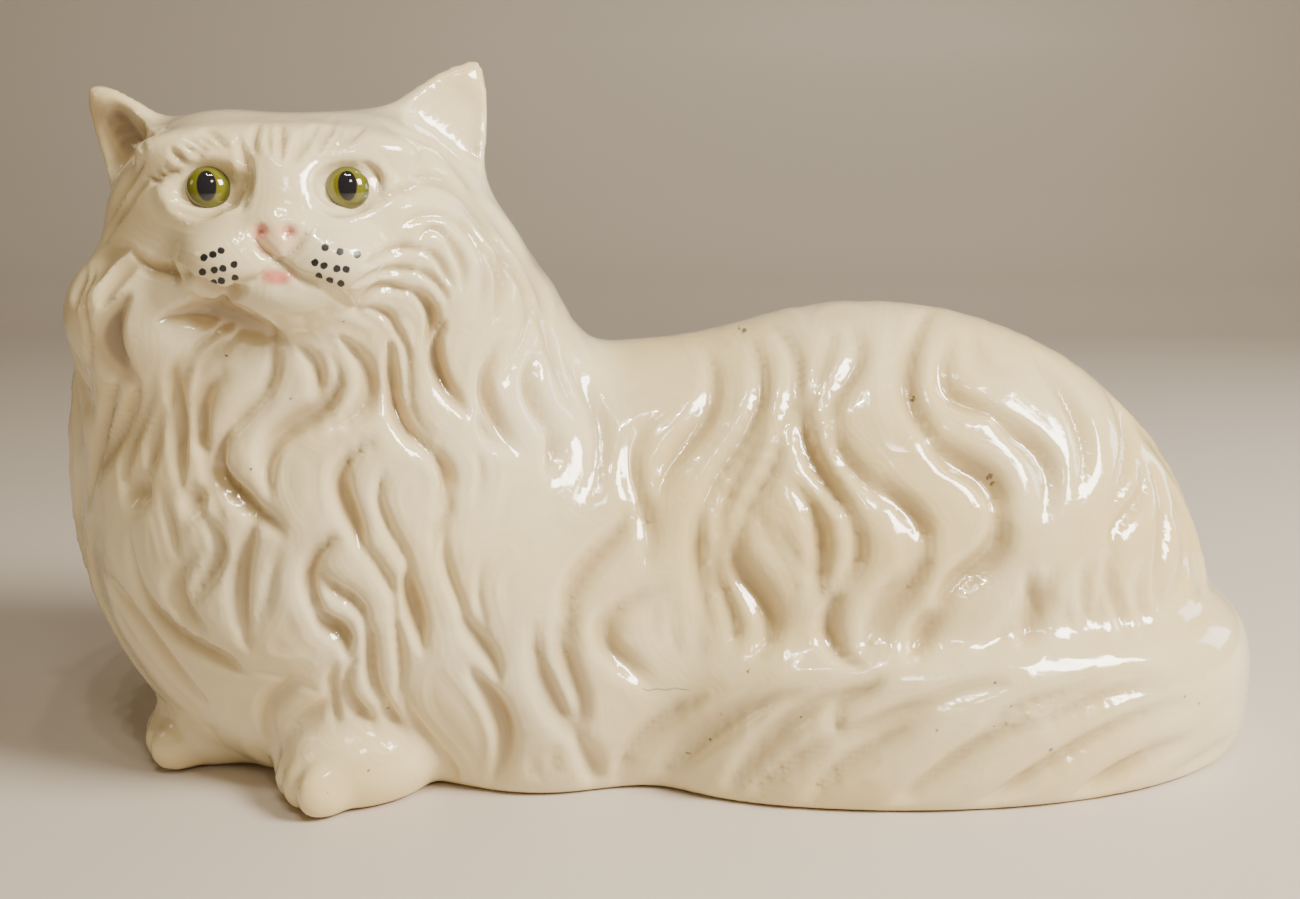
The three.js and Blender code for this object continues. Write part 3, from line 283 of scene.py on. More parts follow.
# Finer strokes of the face, the cheeks and the ears, in the same way.
FACE_STROKES = (
    (-149.5, 112, -149, 89, 1.5, 1.5, 2.2, 1.6),
    (-135, 118, -135, 106.5, 0.5, 0.5, 1.2, 1.6),
    (-144, 118, -144.5, 108, -1, -1, 1.5, 1),
    (-139.5, 117.5, -139, 108.5, -0.5, -0.5, 1, 0.8),
    (-127, 116, -132, 105, 0, 0, 1.2, 1.1),
    (-121.5, 118.5, -127, 109.5, -0.5, 0, 1.2, 1.1),
    (-115.5, 120, -122, 109.5, 0, 0, 1.2, 1.1),
    (-163, 116.5, -154.5, 110.5, 1, 0.5, 1, 1.1),
    (-165.5, 114.5, -157.5, 109.5, 0.5, 0.5, 1, 1),
    (-169, 113.5, -161.5, 109.5, 0.5, 0, 1, 1),
    (-171, 111.5, -164, 107.5, 0, 0, 1, 1),
    (-175, 109.5, -169.5, 105, -0.5, -0.5, 1.2, 1.3),
    (-184, 100, -177.5, 98, -0.5, -0.5, 0.9, 1.4),
    (-180.5, 101.5, -174.5, 99.5, -0.5, -0.5, 0.9, 1.4),
    (-177.5, 103, -172.5, 101.5, -0.5, -0.5, 0.9, 1.4),
    (-173.5, 87.5, -155.5, 87.5, -2, -2, 1.3, 1.2),
    (-155.5, 87.5, -149, 95.5, -1, -1, 1.2, 1.6),
    (-150.5, 56, -168.5, 61.5, 2.5, 1.5, 2.2, 2.6),
    (-167, 60.5, -188.5, 70.5, -0.5, 1, 2.4, 2.2),
    (-145.5, 78, -135.5, 68.5, -0.5, -0.5, 1.3, 1.8),
    (-125.5, 79, -135, 68.5, 0, 0, 1.2, 1.2),
    (-186.5, 104, -197.5, 87.5, -0.5, -0.5, 1.2, 1.6),
    (-184, 98.5, -196.5, 81.5, -1, -0.5, 1, 1.3),
    (-195.5, 90.5, -205.5, 70, -0.5, -0.5, 1.2, 1.6),
    (-189, 92.5, -202, 73.5, -1, -0.5, 1, 1.3),
    (-206, 68.5, -210.5, 54, -0.5, -1, 1.2, 1.6),
    (-203.5, 70, -208, 52.5, -0.5, -1, 1.2, 1.6),
    (-192.5, 74, -205.5, 61.5, -2.5, -2, 3.2, 1.6),
    (-186.5, 70, -201.5, 52.5, -2, -2, 2.6, 1.6),
    (-104, 105, -99, 94, 2, 2, 1, 1.3),
    (-121, 88.5, -100, 92, -3.5, -3, 1.4, 1.3),
    (-101.5, 91, -82.5, 97.5, 0, 0, 1.3, 1.6),
    (-83.5, 97.5, -67.5, 92.5, 2.5, 2.5, 1.4, 1.8),
    (-68, 93.5, -55, 75.5, 1, 1.5, 1.5, 1.8),
    (-56, 77, -53, 53, 2.5, 2.5, 1.6, 1.8),
    (-86, 100, -71, 97, 1.5, 2, 1, 1.6),
    (-71.5, 97.5, -56, 80.5, 1, 0.5, 1.2, 1.2),
    (-66.5, 95, -45, 69, 1.5, 1, 1.5, 1.5),
    (-46.5, 71, -36.5, 47, 1, 1.5, 1.5, 1.5),
    (-90, 82.5, -73, 85, 2, 2, 1.2, 1.2),
    (-74, 85, -61, 69.5, 3, 2.5, 1.4, 1.6),
    (-61, 70.5, -62.5, 51.5, 2, 2, 1.4, 1.4),
    (-84, 77.5, -74, 77.5, 3, 3, 1, 1.6),
    (-74.5, 78.5, -68, 61, 1.5, 2, 1.3, 1.6),
    (-103, 68, -83.5, 73, 2, 2.5, 1.4, 1.6),
    (-84, 73, -72.5, 61, 2.5, 1.5, 1.3, 1.4),
    (-105.5, 61, -85.5, 65.5, 1.5, 2, 1.4, 1.6),
    (-86, 65.5, -74, 55, 2, 2, 1.3, 1.4),
    (-105.5, 53.5, -88.5, 58, 3, 3, 1.6, 1.8),
    (-89, 58.5, -78.5, 45, 3, 3, 1.6, 1.8),
    (-103, 51.5, -90.5, 39.5, 3, 2.5, 1.4, 1.6),
    (-118.5, 118.5, -122.5, 112, 0, 0, 0.9, 1.1),
    (-115, 118.5, -121, 109.5, -0.5, -0.5, 0.9, 1.1),
    (-112, 118, -117.5, 110, 0, 0, 0.9, 1.1),
    (-108.5, 118, -114.5, 110, 0, 0, 0.9, 1.1),
    (-105.5, 117.5, -111, 111, -0.5, -0.5, 0.9, 1),
    (-124.5, 116, -129.5, 105.5, -0.5, -0.5, 1, 1.3),
    (-95.5, 118.5, -74.5, 108, 0, 1, 1, 1.3),
    (-75.5, 108.5, -59.5, 90, 1, 0.5, 1.2, 1.6),
    (-77, 42.5, -68.5, 16, -4, -3, 2.2, 4),
    (-85, 57, -81, 39, 3.5, 3.5, 2, 3),
    (-90.5, 42, -80, 5.5, -1, -3.5, 1, 2),
    (-66.5, 87.5, -41, 51, 2, 2, 1.2, 1.8),
    (-42.5, 54, -27.5, 16.5, 0.5, -0.5, 1.3, 1.6),
    (-60.5, 73.5, -55.5, 48.5, 4, 3.5, 1.4, 1.8),
    (-192, 31.5, -206, -15.5, -1.5, -2, 0.9, 1.8),
    (-188, 27, -202, -7, 3, 0.5, 1, 2),
    (-207.5, 53.5, -205, 16, 0.5, 0.5, 1, 1.5),
    (-195, 53.5, -192.5, 24.5, -5.5, -5, 5, 4),
    (-175, 49, -137, 41, 3, 2, 4.5, 3),
)
EAR_STROKES = (
    (-197.5, 120.5, -189.5, 118.5, 3, 2, 1, 1),
    (-195.5, 116.5, -186.5, 114.5, 3, 2, 1, 1),
    (-193.5, 112, -185, 110, 3, 2.5, 1, 1),
    (-87, 122.5, -73, 132.5, 0.5, 0.5, 0.9, 0.25),
    (-82.5, 120, -67.5, 131, 0, 0, 0.9, 0.25),
    (-78, 117.5, -64.5, 129, 0, 0, 0.9, 0.25),
    (-74.5, 113.5, -64, 124.5, 0, 0, 0.9, 0.25),
    (-73, 108.5, -64, 119.5, 0, 0, 0.9, 0.25),
)

# Strands that follow the grooves: spacing and height of the carved ones, and where they fade.
STRAND = {"spacing": 6.5, "height": 0.3, "from": (3, 6), "until": (8, 14)}

# Lines of the mesh's grid: the wide step, the fine step over the head, and the step behind the cat.
BODY_STEP = 2.35
HEAD_STEP = 1.25
BACK_STEP = 5.0
GRID_LOW = (-240, -126, -4)
GRID_HIGH = (250, 106, 268)
HEAD_LINES = ((-192, -50), (-122, -70), (164, 246))
BACK_FROM = 20

# How many steps down the slope take the mesh onto the form, how far to each side the slope is measured for
# them and for the outward direction, and the least square of a slope that is divided by.
DESCENTS = 3
SLOPE_REACH = 0.05
OUTWARD_REACH = 0.4
LEAST_SLOPE = 0.05

# The carved mesh is then softened: how often, how far to the neighbours' mean, and the height below which
# a point lies on the table.
SOFTENINGS = 2
SOFTEN_SHARE = 0.5
FLAT_BELOW = 0.3


def smooth_step(value, start, end):
    """0 before start and 1 after end, with an even S turn between them."""
    share = np.clip((value - start) / (end - start), 0.0, 1.0)
    return share * share * (3.0 - 2.0 * share)


def fade_out(value, start, end):
    """1 before start and 0 after end, with an even S turn between them."""
    return smooth_step(-value, -end, -start)


def bell(value, spread):
    """1 at 0, falling evenly on both sides: e to the power of minus (value over spread) squared."""
    return np.exp(-((value / spread) ** 2))


def blend(a, b, k):
    """The lower of two distances, with the corner between them rounded over k."""
    h = np.clip(0.5 + 0.5 * (b - a) / k, 0.0, 1.0)
    return b + (a - b) * h - k * h * (1.0 - h)


def hollow(a, b, k):
    """The higher of two distances, rounded over k, which hollows out."""
    return -blend(-a, -b, k)


def length(vectors):
    """Length of each row: the root of the sum of its squares."""
    return np.sqrt((vectors**2).sum(-1))


def ellipsoid(p, at, half):
    """Distance from an ellipsoid to first order: k (k - 1) over the slope of k, where k is the length of
    the offset from its middle with each part divided by the half size there."""
    half = np.array(half, float)
    q = (p - np.array(at, float)) / half
    k = length(q)
    return k * (k - 1.0) / (length(q / half) + 1e-9)


HEAD_RIGHT = np.array([np.cos(HEAD_TURN), np.sin(HEAD_TURN), 0.0])
HEAD_FORWARD = np.array([np.sin(HEAD_TURN), -np.cos(HEAD_TURN), 0.0]) * np.cos(HEAD_TIP)
HEAD_FORWARD[2] = np.sin(HEAD_TIP)
HEAD_UP = np.cross(HEAD_FORWARD, HEAD_RIGHT)


def on_face(p):
    """Right, up and forward of each point from the middle of the head, as the viewer of the face sees it."""
    return (p - HEAD_AT) @ np.array([HEAD_RIGHT, HEAD_UP, HEAD_FORWARD]).T


def from_face(right, up, forward):
    """The place that lies so far right, up and forward of the middle of the head."""
    return HEAD_AT + right * HEAD_RIGHT + up * HEAD_UP + forward * HEAD_FORWARD


def tail(p):
    """Distance from a bar with a rounded square section, swept along an oval path on the table. Its size
    is the full one from the rump to the front, and a quarter of that at the tip."""
    ex = (p[..., 0] - TAIL_AT[0]) / TAIL_PATH[0]
    ey = (p[..., 1] - TAIL_AT[1]) / TAIL_PATH[1]
    e = np.hypot(ex, ey) + 1e-9
    outward = (e - 1.0) * e / (np.hypot(ex / TAIL_PATH[0], ey / TAIL_PATH[1]) + 1e-9)
    bearing = np.degrees(np.arctan2(ey, ex))
    full = smooth_step(bearing, *TAIL_GROWS) * fade_out(bearing, *TAIL_THINS)
    size = TAIL_THIN + (1.0 - TAIL_THIN) * full
    wide = TAIL_WIDE * size
    tall = TAIL_TALL * size
    n = TAIL_SQUARENESS
    a = np.abs(outward) / wide + 1e-6
    middle = TAIL_MIDDLE * (TAIL_LOW + (1.0 - TAIL_LOW) * full)
    b = np.abs(p[..., 2] - middle) / tall + 1e-6
    k = (a**n + b**n) ** (1 / n)
    slope = np.hypot(a ** (n - 1) / wide, b ** (n - 1) / tall) * k ** (1 - n)
    return (k - 1.0) / np.maximum(slope, 1e-6)


def trunk(p):
    """Back and loins, rounded together, and the tail laid round them."""
    back = ellipsoid(p, TRUNK["at"], TRUNK["half"])
    loin = ellipsoid(p, LOIN["at"], LOIN["half"])
    return blend(blend(back, loin, LOIN_BLEND), tail(p), TAIL_BLEND)


def chest(p):
    """The deep chest with its mane, filled out under the left cheek, and the elbow behind it."""
    mane = ellipsoid(p, CHEST["at"], CHEST["half"])
    mane = blend(mane, ellipsoid(p, RUFF["at"], RUFF["half"]), RUFF_BLEND)
    return blend(mane, ellipsoid(p, ELBOW["at"], ELBOW["half"]), ELBOW_BLEND)


def ear_frame(ear):
    """Base, direction to the tip, the way the open side looks, the way across, the length, half width."""
    base = from_face(*ear["base"])
    axis = from_face(*ear["tip"]) - base
    reach = np.linalg.norm(axis)
    axis = axis / reach
    look = HEAD_FORWARD + HEAD_RIGHT * ear["side"] * ear["turn"]
    look = look - axis * (look @ axis)
    look = look / np.linalg.norm(look)
    return base, axis, look, np.cross(axis, look), reach, ear["half"]


EAR_FRAMES = [ear_frame(ear) for ear in EARS]


def on_ear(p, place):
    """Share of the way from base to tip, and millimetres across and towards the open side."""
    base, axis, look, across, reach, _ = place
    q = p - base
    return (q @ axis) / reach, q @ across, q @ look


def ear(p, place):
    """Distance from a plate that tapers to the tip, with a scoop out of its open side."""
    along, across, ahead = on_ear(p, place)
    reach, root_half = place[4:]
    t = np.clip(along, EAR_BELOW_BASE, 1.0)
    half = root_half * (1.0 - t) ** EAR_POINT + EAR_EDGE
    thick = EAR_THICK * (1.0 - t) + EAR_EDGE
    d = (np.hypot(across / half, ahead / thick) - 1.0) * np.minimum(half, thick)
    plate = np.hypot(np.maximum(d, 0), np.abs(along - t) * reach) + np.minimum(d, 0)
    open_part = smooth_step(along, *EAR_HOLLOW["starts"]) * fade_out(along, *EAR_HOLLOW["ends"])
    scoop = EAR_SCOOP * thick * np.clip(1 - (across / (EAR_HOLLOW["width"] * half)) ** 2, 0, 1) * open_part
    return plate + scoop * smooth_step(ahead, *EAR_HOLLOW["lip"])


def in_ear(p, place):
    """1 in the hollow of an ear, falling to 0 at its rim: one less the square of the place across over the
    half width, within the length of the ear, on its open side."""
    along, across, ahead = on_ear(p, place)
    half = place[5] * (1.0 - np.clip(along, EAR_BELOW_BASE, 1.0)) ** EAR_POINT + EAR_EDGE
    within = smooth_step(along, *EAR_INSIDE["starts"]) * fade_out(along, *EAR_INSIDE["ends"])
    within = within * (np.abs(ahead) < EAR_INSIDE["deep"])
    middle = np.clip(1 - (across / (EAR_INSIDE["width"] * half)) ** 2, 0, 1)
    return middle * within * smooth_step(ahead, *EAR_INSIDE["lip"])


def head(p):
    """The skull with its masses added by rounded joins, most of them on both sides at once."""
    face = on_face(p)
    even = face.copy()
    even[..., 0] = np.abs(face[..., 0])
    d = ellipsoid(face, (0, 0, 0), SKULL_HALF)
    for mass in (MUZZLE, BROW):
        d = blend(d, ellipsoid(even, mass["at"], mass["half"]), mass["blend"])
    for mass in (LEFT_CROWN, RIGHT_CROWN, LEFT_CHEEK, RIGHT_CHEEK):
        d = blend(d, ellipsoid(face, mass["at"], mass["half"]), mass["blend"])
    d = hollow(d, -ellipsoid(even, EYE_OPENING["at"], EYE_OPENING["half"]), EYE_OPENING["blend"])
    for mass in (EYEBALL, BRIDGE, WHISKER_PAD, NOSE, NOSE_TIP, CHIN):
        d = blend(d, ellipsoid(even, mass["at"], mass["half"]), mass["blend"])
    return hollow(d, -ellipsoid(even, SEAT["at"], SEAT["half"]), SEAT["blend"])


def paw(p, place):
    """A rounded foot with four toes side by side, the outer ones set back."""
    c, s = np.cos(place["bearing"]), np.sin(place["bearing"])
    x = p[..., 0] - place["at"][0]
    y = p[..., 1] - place["at"][1]
    q = np.stack([x * c + y * s, y * c - x * s, p[..., 2]], -1)
    d = ellipsoid(q, (PAW["ahead"], 0, PAW["up"]), PAW["half"])
    for toe in TOES:
        at = (TOE["ahead"] - abs(toe) * TOE["back"], toe * TOE["gap"], TOE["up"])
        d = blend(d, ellipsoid(q, at, TOE["half"]), TOE["blend"])
    return d


def form(p):
    """Distance from the whole smooth cat: every mass joined by a rounded corner, cut off flat at the foot."""
    d = blend(trunk(p), chest(p), CHEST_BLEND)
    d = blend(d, head(p), HEAD_BLEND)
    for place in EAR_FRAMES:
        d = blend(d, ear(p, place), EAR_BLEND)
    for place in PAWS:
        d = blend(d, paw(p, place), PAW["blend"])
    return hollow(d, -p[..., 2], FOOT_ROUNDING)


def slope_of(p, e):
    """Slope of the form's distance along each axis, from the values e before and behind."""
    steps = np.eye(3) * e
    return np.stack([(form(p + s) - form(p - s)) / (2 * e) for s in steps], -1)


def grid_lines(axis):
    """Places of the grid's lines along one axis: close over the head, wide elsewhere."""
    lines = [GRID_LOW[axis]]
    while lines[-1] < GRID_HIGH[axis]:
        here = lines[-1]
        step = HEAD_STEP if HEAD_LINES[axis][0] < here < HEAD_LINES[axis][1] else BODY_STEP
        lines.append(here + (BACK_STEP if axis == 1 and here > BACK_FROM else step))
    return np.array(lines)


def skin():
    """A mesh of four-sided faces over the smooth form: in each cell of a grid that the surface crosses, the
    mean of the places where it crosses the cell's edges, joined round each crossed grid edge. Three steps
    down the slope then bring every point onto the form."""
    lines = [grid_lines(axis) for axis in range(3)]
    y, z = np.meshgrid(lines[1], lines[2], indexing="ij")
    value = np.stack([form(np.stack([np.full_like(y, x), y, z], -1)) for x in lines[0]])
    inside = value < 0
    shape = tuple(n - 1 for n in value.shape)
    corners = [(i, j, k) for i in (0, 1) for j in (0, 1) for k in (0, 1)]

    def shifted(array, corner):
        return array[tuple(slice(c, c + n) for c, n in zip(corner, shape))]

    count = sum(shifted(inside, c).astype(np.uint8) for c in corners)
    crossed = (count > 0) & (count < 8)
    cells = np.nonzero(crossed)
    number = np.full(shape, -1)
    number[crossed] = np.arange(len(cells[0]))
    total = np.zeros((len(cells[0]), 3))
    found = np.zeros(len(cells[0]))
    for start in corners:
        for axis in range(3):
            if start[axis]:
                continue
            stop = tuple(c + (n == axis) for n, c in enumerate(start))
            at_start, at_stop = (
                tuple(c + offset for c, offset in zip(cells, corner)) for corner in (start, stop)
            )
            a, b = value[at_start], value[at_stop]
            crossing = (a < 0) != (b < 0)
            share = np.where(crossing, a / np.where(crossing, a - b, 1), 0)[:, None]
            from_point = np.stack([line[i] for line, i in zip(lines, at_start)], -1)
            to_point = np.stack([line[i] for line, i in zip(lines, at_stop)], -1)
            total += np.where(crossing[:, None], from_point + (to_point - from_point) * share, 0)
            found += crossing
    points = total / found[:, None]
    faces = []
    for axis in range(3):
        before = [slice(1, -1)] * 3
        after = [slice(1, -1)] * 3
        before[axis] = slice(0, -1)
        after[axis] = slice(1, None)
        edges = np.nonzero(inside[tuple(before)] != inside[tuple(after)])
        flip = inside[tuple(before)][edges]
        place = [index + (n != axis) for n, index in enumerate(edges)]
        u, w = (axis + 1) % 3, (axis + 2) % 3
        ring = []
        for du, dw in ((1, 1), (0, 1), (0, 0), (1, 0)):
            ring.append(number[tuple(index - du * (n == u) - dw * (n == w) for n, index in enumerate(place))])
        quads = np.stack(ring, -1)
        quads[~flip] = quads[~flip][:, ::-1]
        faces.append(quads)
    for _ in range(DESCENTS):
        slope = slope_of(points, SLOPE_REACH)
        points = points - slope * (form(points) / np.maximum((slope**2).sum(-1), LEAST_SLOPE))[:, None]
    return points, np.concatenate(faces)


# The locks are carved from a drawing held upright before the cat, seen from this standpoint.
STANDPOINT = np.array([0.0, -500.0, 220.0])
LOOK_DOWN = np.radians(12)
DRAWING_AT = 475
MIDDLE_Y = 10

# Section of those grooves: how far each runs past its ends, how fast its width and depth taper to them,
# how much wider its rounded edges are, how far the bottom leans to the outer side of the bend, the low rim
# along each edge, and the wide shallow swale that rounds the ridges beside it, as shares of the groove's.
# A rim gives way where another groove reaches RIM_GONE deep. BEND_FACTOR makes the bends at the thirds the
# given ones, GROOVE_ROOM is how far past its ends and bends a groove can reach, and FACING is how squarely
# the form has to face the standpoint for the drawing to start and to be cut in full.
OVERRUN = 0.14
WIDTH_TAPER = 0.6
DEPTH_TAPER = 0.9
SOFT_EDGE = 0.8
ROUNDING = 1.3
ROUNDNESS = 1.7
GROOVE_SHARE = 1.15
GROOVE_LEAN = 0.45
RIM_HEIGHT = 0.28
RIM_SPREAD = 0.28
SWALE_SHARE = 0.4
SWALE_WIDTH = 1.9
RIM_SOFTNESS = 0.5
RIM_GONE = 1.5
BEND_FACTOR = 4.5
GROOVE_ROOM = 14
FACING = (0.08, 0.42)

# Where the carving fades, by the distance in millimetres: off the ears and the paws, up from the table,
# from the coat onto the face, and from the face out over the mane below the chin.
COAT_OFF_EAR = (0.5, 5)
COAT_OFF_PAW = (0.5, 6)
FACE_OFF_EAR = (0.5, 4)
UP_FROM_TABLE = (0.5, 9)
ONTO_FACE = (-3, 7)
OFF_COAT = (8, 20)

# How much darker a stroke of the face is than a groove of the coat as deep as it, in pooled glaze and painted
# shade.
STROKE_TINT = 1.8

# Upright wavy grooves on the ends, which the drawing doesn't reach.
END_FACING = (0.55, 0.85)
CHEST_END = {
    "spacing": 15, "sway": 7, "wave": 17, "phase": 0.8, "slant": 0.12, "roundness": 0.8, "depth": 3.2,
    "from": (150, 175),
}
RUMP_END = {"spacing": 16, "sway": 5, "wave": 19, "depth": 2.6, "from": (150, 185), "above": (58, 66)}

# Relief of the face: the lid ridge round each eye, the mouth line and the two nostrils.
LID = {"inner": 10.5, "outer": 13, "above": 8.2, "below": 9.2, "at": 1.08, "spread": 0.17, "height": 0.8}
MOUTH = {
    "up": -20.7, "fall": 0.58, "sag": 1.5, "sag_at": 6, "sag_spread": 4, "spread": 1.4, "depth": 2.4,
    "forward": (14, 16), "aside": (18, 25),
}
NOSTRIL = {"at": ((-5.7, -11.2), (3.1, -11.6)), "spread": 1.9, "depth": 2.2, "forward": 30}


def seen_from_standpoint(p):
    """Where the sight line of each point meets the drawing, right and up of its middle, and the line's
    direction: the offsets across and up the view, scaled by the drawing's distance over the depth."""
    q = p - STANDPOINT
    away = q[:, 1] * np.cos(LOOK_DOWN) - q[:, 2] * np.sin(LOOK_DOWN)
    rise = q[:, 1] * np.sin(LOOK_DOWN) + q[:, 2] * np.cos(LOOK_DOWN)
    return q[:, 0] * DRAWING_AT / away, rise * DRAWING_AT / away, q / length(q)[:, None]


def groove(a, b, row):
    """Depth of one tapered groove, of the low rim along it, and the distance from its centre line. That
    line is a chord, bent sideways by two given amounts at its thirds; the section is a rounded hollow that
    leans to the outer side of the bend, in a wide shallow swale."""
    x0, z0, x1, z1, bend_1, bend_2, half, depth = row
    reach = np.hypot(x1 - x0, z1 - z0)
    tx, tz = (x1 - x0) / reach, (z1 - z0) / reach
    along = ((a - x0) * tx + (b - z0) * tz) / reach
    s = np.clip(along, -OVERRUN, 1 + OVERRUN)
    swing = bend_1 * (2 - 3 * s) + bend_2 * (3 * s - 1)
    offset = BEND_FACTOR * s * (1 - s) * swing
    slope = BEND_FACTOR * ((1 - 2 * s) * swing + 3 * s * (1 - s) * (bend_2 - bend_1)) / reach
    aside = ((b - z0) * tx - (a - x0) * tz - offset) / np.hypot(1, slope)
    taper = np.abs(np.sin(np.pi * (s + OVERRUN) / (1 + 2 * OVERRUN))) ** WIDTH_TAPER
    width = ROUNDING * half * taper + SOFT_EDGE
    u = np.clip(aside / width, -1, 1)
    lean = 1 - GROOVE_LEAN * np.sign(bend_1 + bend_2) * u
    cut = GROOVE_SHARE * (1 - u * u) ** ROUNDNESS * lean * taper**DEPTH_TAPER
    cut = depth * (cut + SWALE_SHARE * bell(aside, SWALE_WIDTH * width) * taper)
    rim = RIM_HEIGHT * depth * taper * bell(np.abs(aside) - width, RIM_SPREAD * width + RIM_SOFTNESS)
    return cut, rim * (taper > 0), np.hypot(aside, (along - s) * reach)


def carved_from_drawing(p, normal, rows):
    """Height of the carving, depth of the deepest groove and distance from the nearest one at each point,
    by the rows of a drawing. The first two fade out where the form turns away from the standpoint."""
    a, b, line = seen_from_standpoint(p)
    facing = smooth_step(-(normal * line).sum(1), *FACING)
    deepest = np.zeros(len(p))
    highest = np.zeros(len(p))
    nearest = np.full(len(p), STRAND["until"][1] + 1.0)
    for row in rows:
        x0, z0, x1, z1, bend_1, bend_2, half, _ = row
        room = 2 * half + 2 * max(abs(bend_1), abs(bend_2)) + GROOVE_ROOM
        near = (np.abs(a - (x0 + x1) / 2) < abs(x1 - x0) / 2 + room) & (
            np.abs(b - (z0 + z1) / 2) < abs(z1 - z0) / 2 + room
        )
        cut, rim, apart = groove(a[near], b[near], row)
        deepest[near] = np.maximum(deepest[near], cut)
        highest[near] = np.maximum(highest[near], rim)
        nearest[near] = np.minimum(nearest[near], apart)
    raised = highest * (1 - np.clip(deepest / RIM_GONE, 0, 1))
    return (raised - deepest) * facing, deepest * facing, nearest


def strands(apart):
    """Height of strands between the grooves: a cosine of the distance from the nearest groove."""
    wave = np.cos(2 * np.pi * apart / STRAND["spacing"]) * STRAND["height"]
    return wave * smooth_step(apart, *STRAND["from"]) * (1 - smooth_step(apart, *STRAND["until"]))


def carved_on_ends(p, normal):
    """Height of upright wavy grooves on the outer end of the chest and of the rump: the size of a sine of
    the place along Y, which sways with the height."""
    x, y, z = p.T
    at_chest = smooth_step(-normal[:, 0], *END_FACING) * smooth_step(-x, *CHEST_END["from"])
    chest_wave = np.sin(z / CHEST_END["wave"] + CHEST_END["phase"]) * CHEST_END["sway"]
    chest_wave = chest_wave + CHEST_END["slant"] * z
    chest_part = np.abs(np.sin(np.pi * (y + chest_wave) / CHEST_END["spacing"])) ** CHEST_END["roundness"]
    at_rump = smooth_step(normal[:, 0], *END_FACING) * smooth_step(x, *RUMP_END["from"])
    at_rump = at_rump * smooth_step(z, *RUMP_END["above"])
    rump_wave = np.sin(z / RUMP_END["wave"]) * RUMP_END["sway"]
    rump_part = np.abs(np.sin(np.pi * (y + rump_wave) / RUMP_END["spacing"]))
    return -CHEST_END["depth"] * chest_part * at_chest - RUMP_END["depth"] * rump_part * at_rump


def carved_on_face(p):
    """Height of the lid ridges, the mouth line and the nostrils: bells round an oval about each eye, along
    a sagging line, and round a spot on each side of the nose."""
    right, up, forward = on_face(p).T
    r = np.abs(right)
    aside, above = r - EYE_APART / 2, up - EYE_UP
    wide = np.where(aside > 0, LID["outer"], LID["inner"])
    lid = np.hypot(aside / wide, above / np.where(above > 0, LID["above"], LID["below"]))
    lid_ridge = LID["height"] * bell(lid - LID["at"], LID["spread"])
    line = MOUTH["up"] - MOUTH["fall"] * r - MOUTH["sag"] * bell(r - MOUTH["sag_at"], MOUTH["sag_spread"])
    on_muzzle = smooth_step(forward, *MOUTH["forward"]) * (1 - smooth_step(r, *MOUTH["aside"]))
    mouth_line = MOUTH["depth"] * bell(up - line, MOUTH["spread"]) * on_muzzle
    from_nostril = np.min([np.hypot(right - x, up - y) for x, y in NOSTRIL["at"]], 0)
    nostril = NOSTRIL["depth"] * bell(from_nostril, NOSTRIL["spread"]) * (forward > NOSTRIL["forward"])
    return (lid_ridge - mouth_line - nostril) * (forward > 0)


def carving(p, normal):
    """Height of all the carving at each point of the smooth form, how dark its glaze is painted there, and
    the distance from the nearest groove. That darkness is the depth of its groove, more in the face's
    strokes, as pooled glaze and painted shade, with painted shadow added in the ear hollows. The far side has
    the near side's coat, mirrored; the paws stay smooth."""
    far = p[:, 1] > MIDDLE_Y
    side = np.where(far, -1.0, 1.0)[:, None] ** np.array([0, 1, 0])
    mirrored = p * side + np.where(far, 2.0 * MIDDLE_Y, 0.0)[:, None] * np.array([0, 1, 0])
    coat, depth, apart = carved_from_drawing(mirrored, normal * side, COAT_GROOVES)
    coat = coat + carved_on_ends(p, normal) + strands(apart)
    drawn, drawn_depth, drawn_apart = carved_from_drawing(p, normal, FACE_STROKES + EAR_STROKES)
    over_coat = np.minimum(chest(p), trunk(p)) - head(p)
    on_head = smooth_step(over_coat, *ONTO_FACE) * (p[:, 1] < 0)
    to_ear = np.minimum(*(ear(p, place) for place in EAR_FRAMES))
    to_paw = np.minimum(*(paw(p, place) for place in PAWS))
    clear = smooth_step(to_ear, *COAT_OFF_EAR) * smooth_step(to_paw, *COAT_OFF_PAW)
    clear = clear * (1 - smooth_step(over_coat, *OFF_COAT))
    face = carved_on_face(p) * smooth_step(to_ear, *FACE_OFF_EAR) * on_head
    foot = smooth_step(p[:, 2], *UP_FROM_TABLE)
    # How dark the glaze is painted: pooled glaze and painted shade by the depth of the grooves, more in the
    # face's strokes.
    deepest = np.maximum(depth * clear * foot, STROKE_TINT * drawn_depth)
    # Painted shade in the hollow of each ear, added to that darkness.
    for shade, place in zip(EAR_SHADE, EAR_FRAMES):
        deepest = deepest + shade * in_ear(p, place)
    return (coat * clear + face) * foot + drawn, deepest, np.minimum(apart, drawn_apart)


class Value:
    """A socket of a finish's nodes. Sums, products and the like of it add their Math nodes."""

    def __init__(self, finish, socket):
        self.finish = finish
        self.socket = socket

    def __add__(self, other):
        return self.finish.math("ADD", self, other)

    def __sub__(self, other):
        return self.finish.math("SUBTRACT", self, other)

    def __rsub__(self, other):
        return self.finish.math("SUBTRACT", other, self)

    def __mul__(self, other):
        return self.finish.math("MULTIPLY", self, other)

    def __truediv__(self, other):
        return self.finish.math("DIVIDE", self, other)

    def __pow__(self, other):
        return self.finish.math("POWER", self, other)


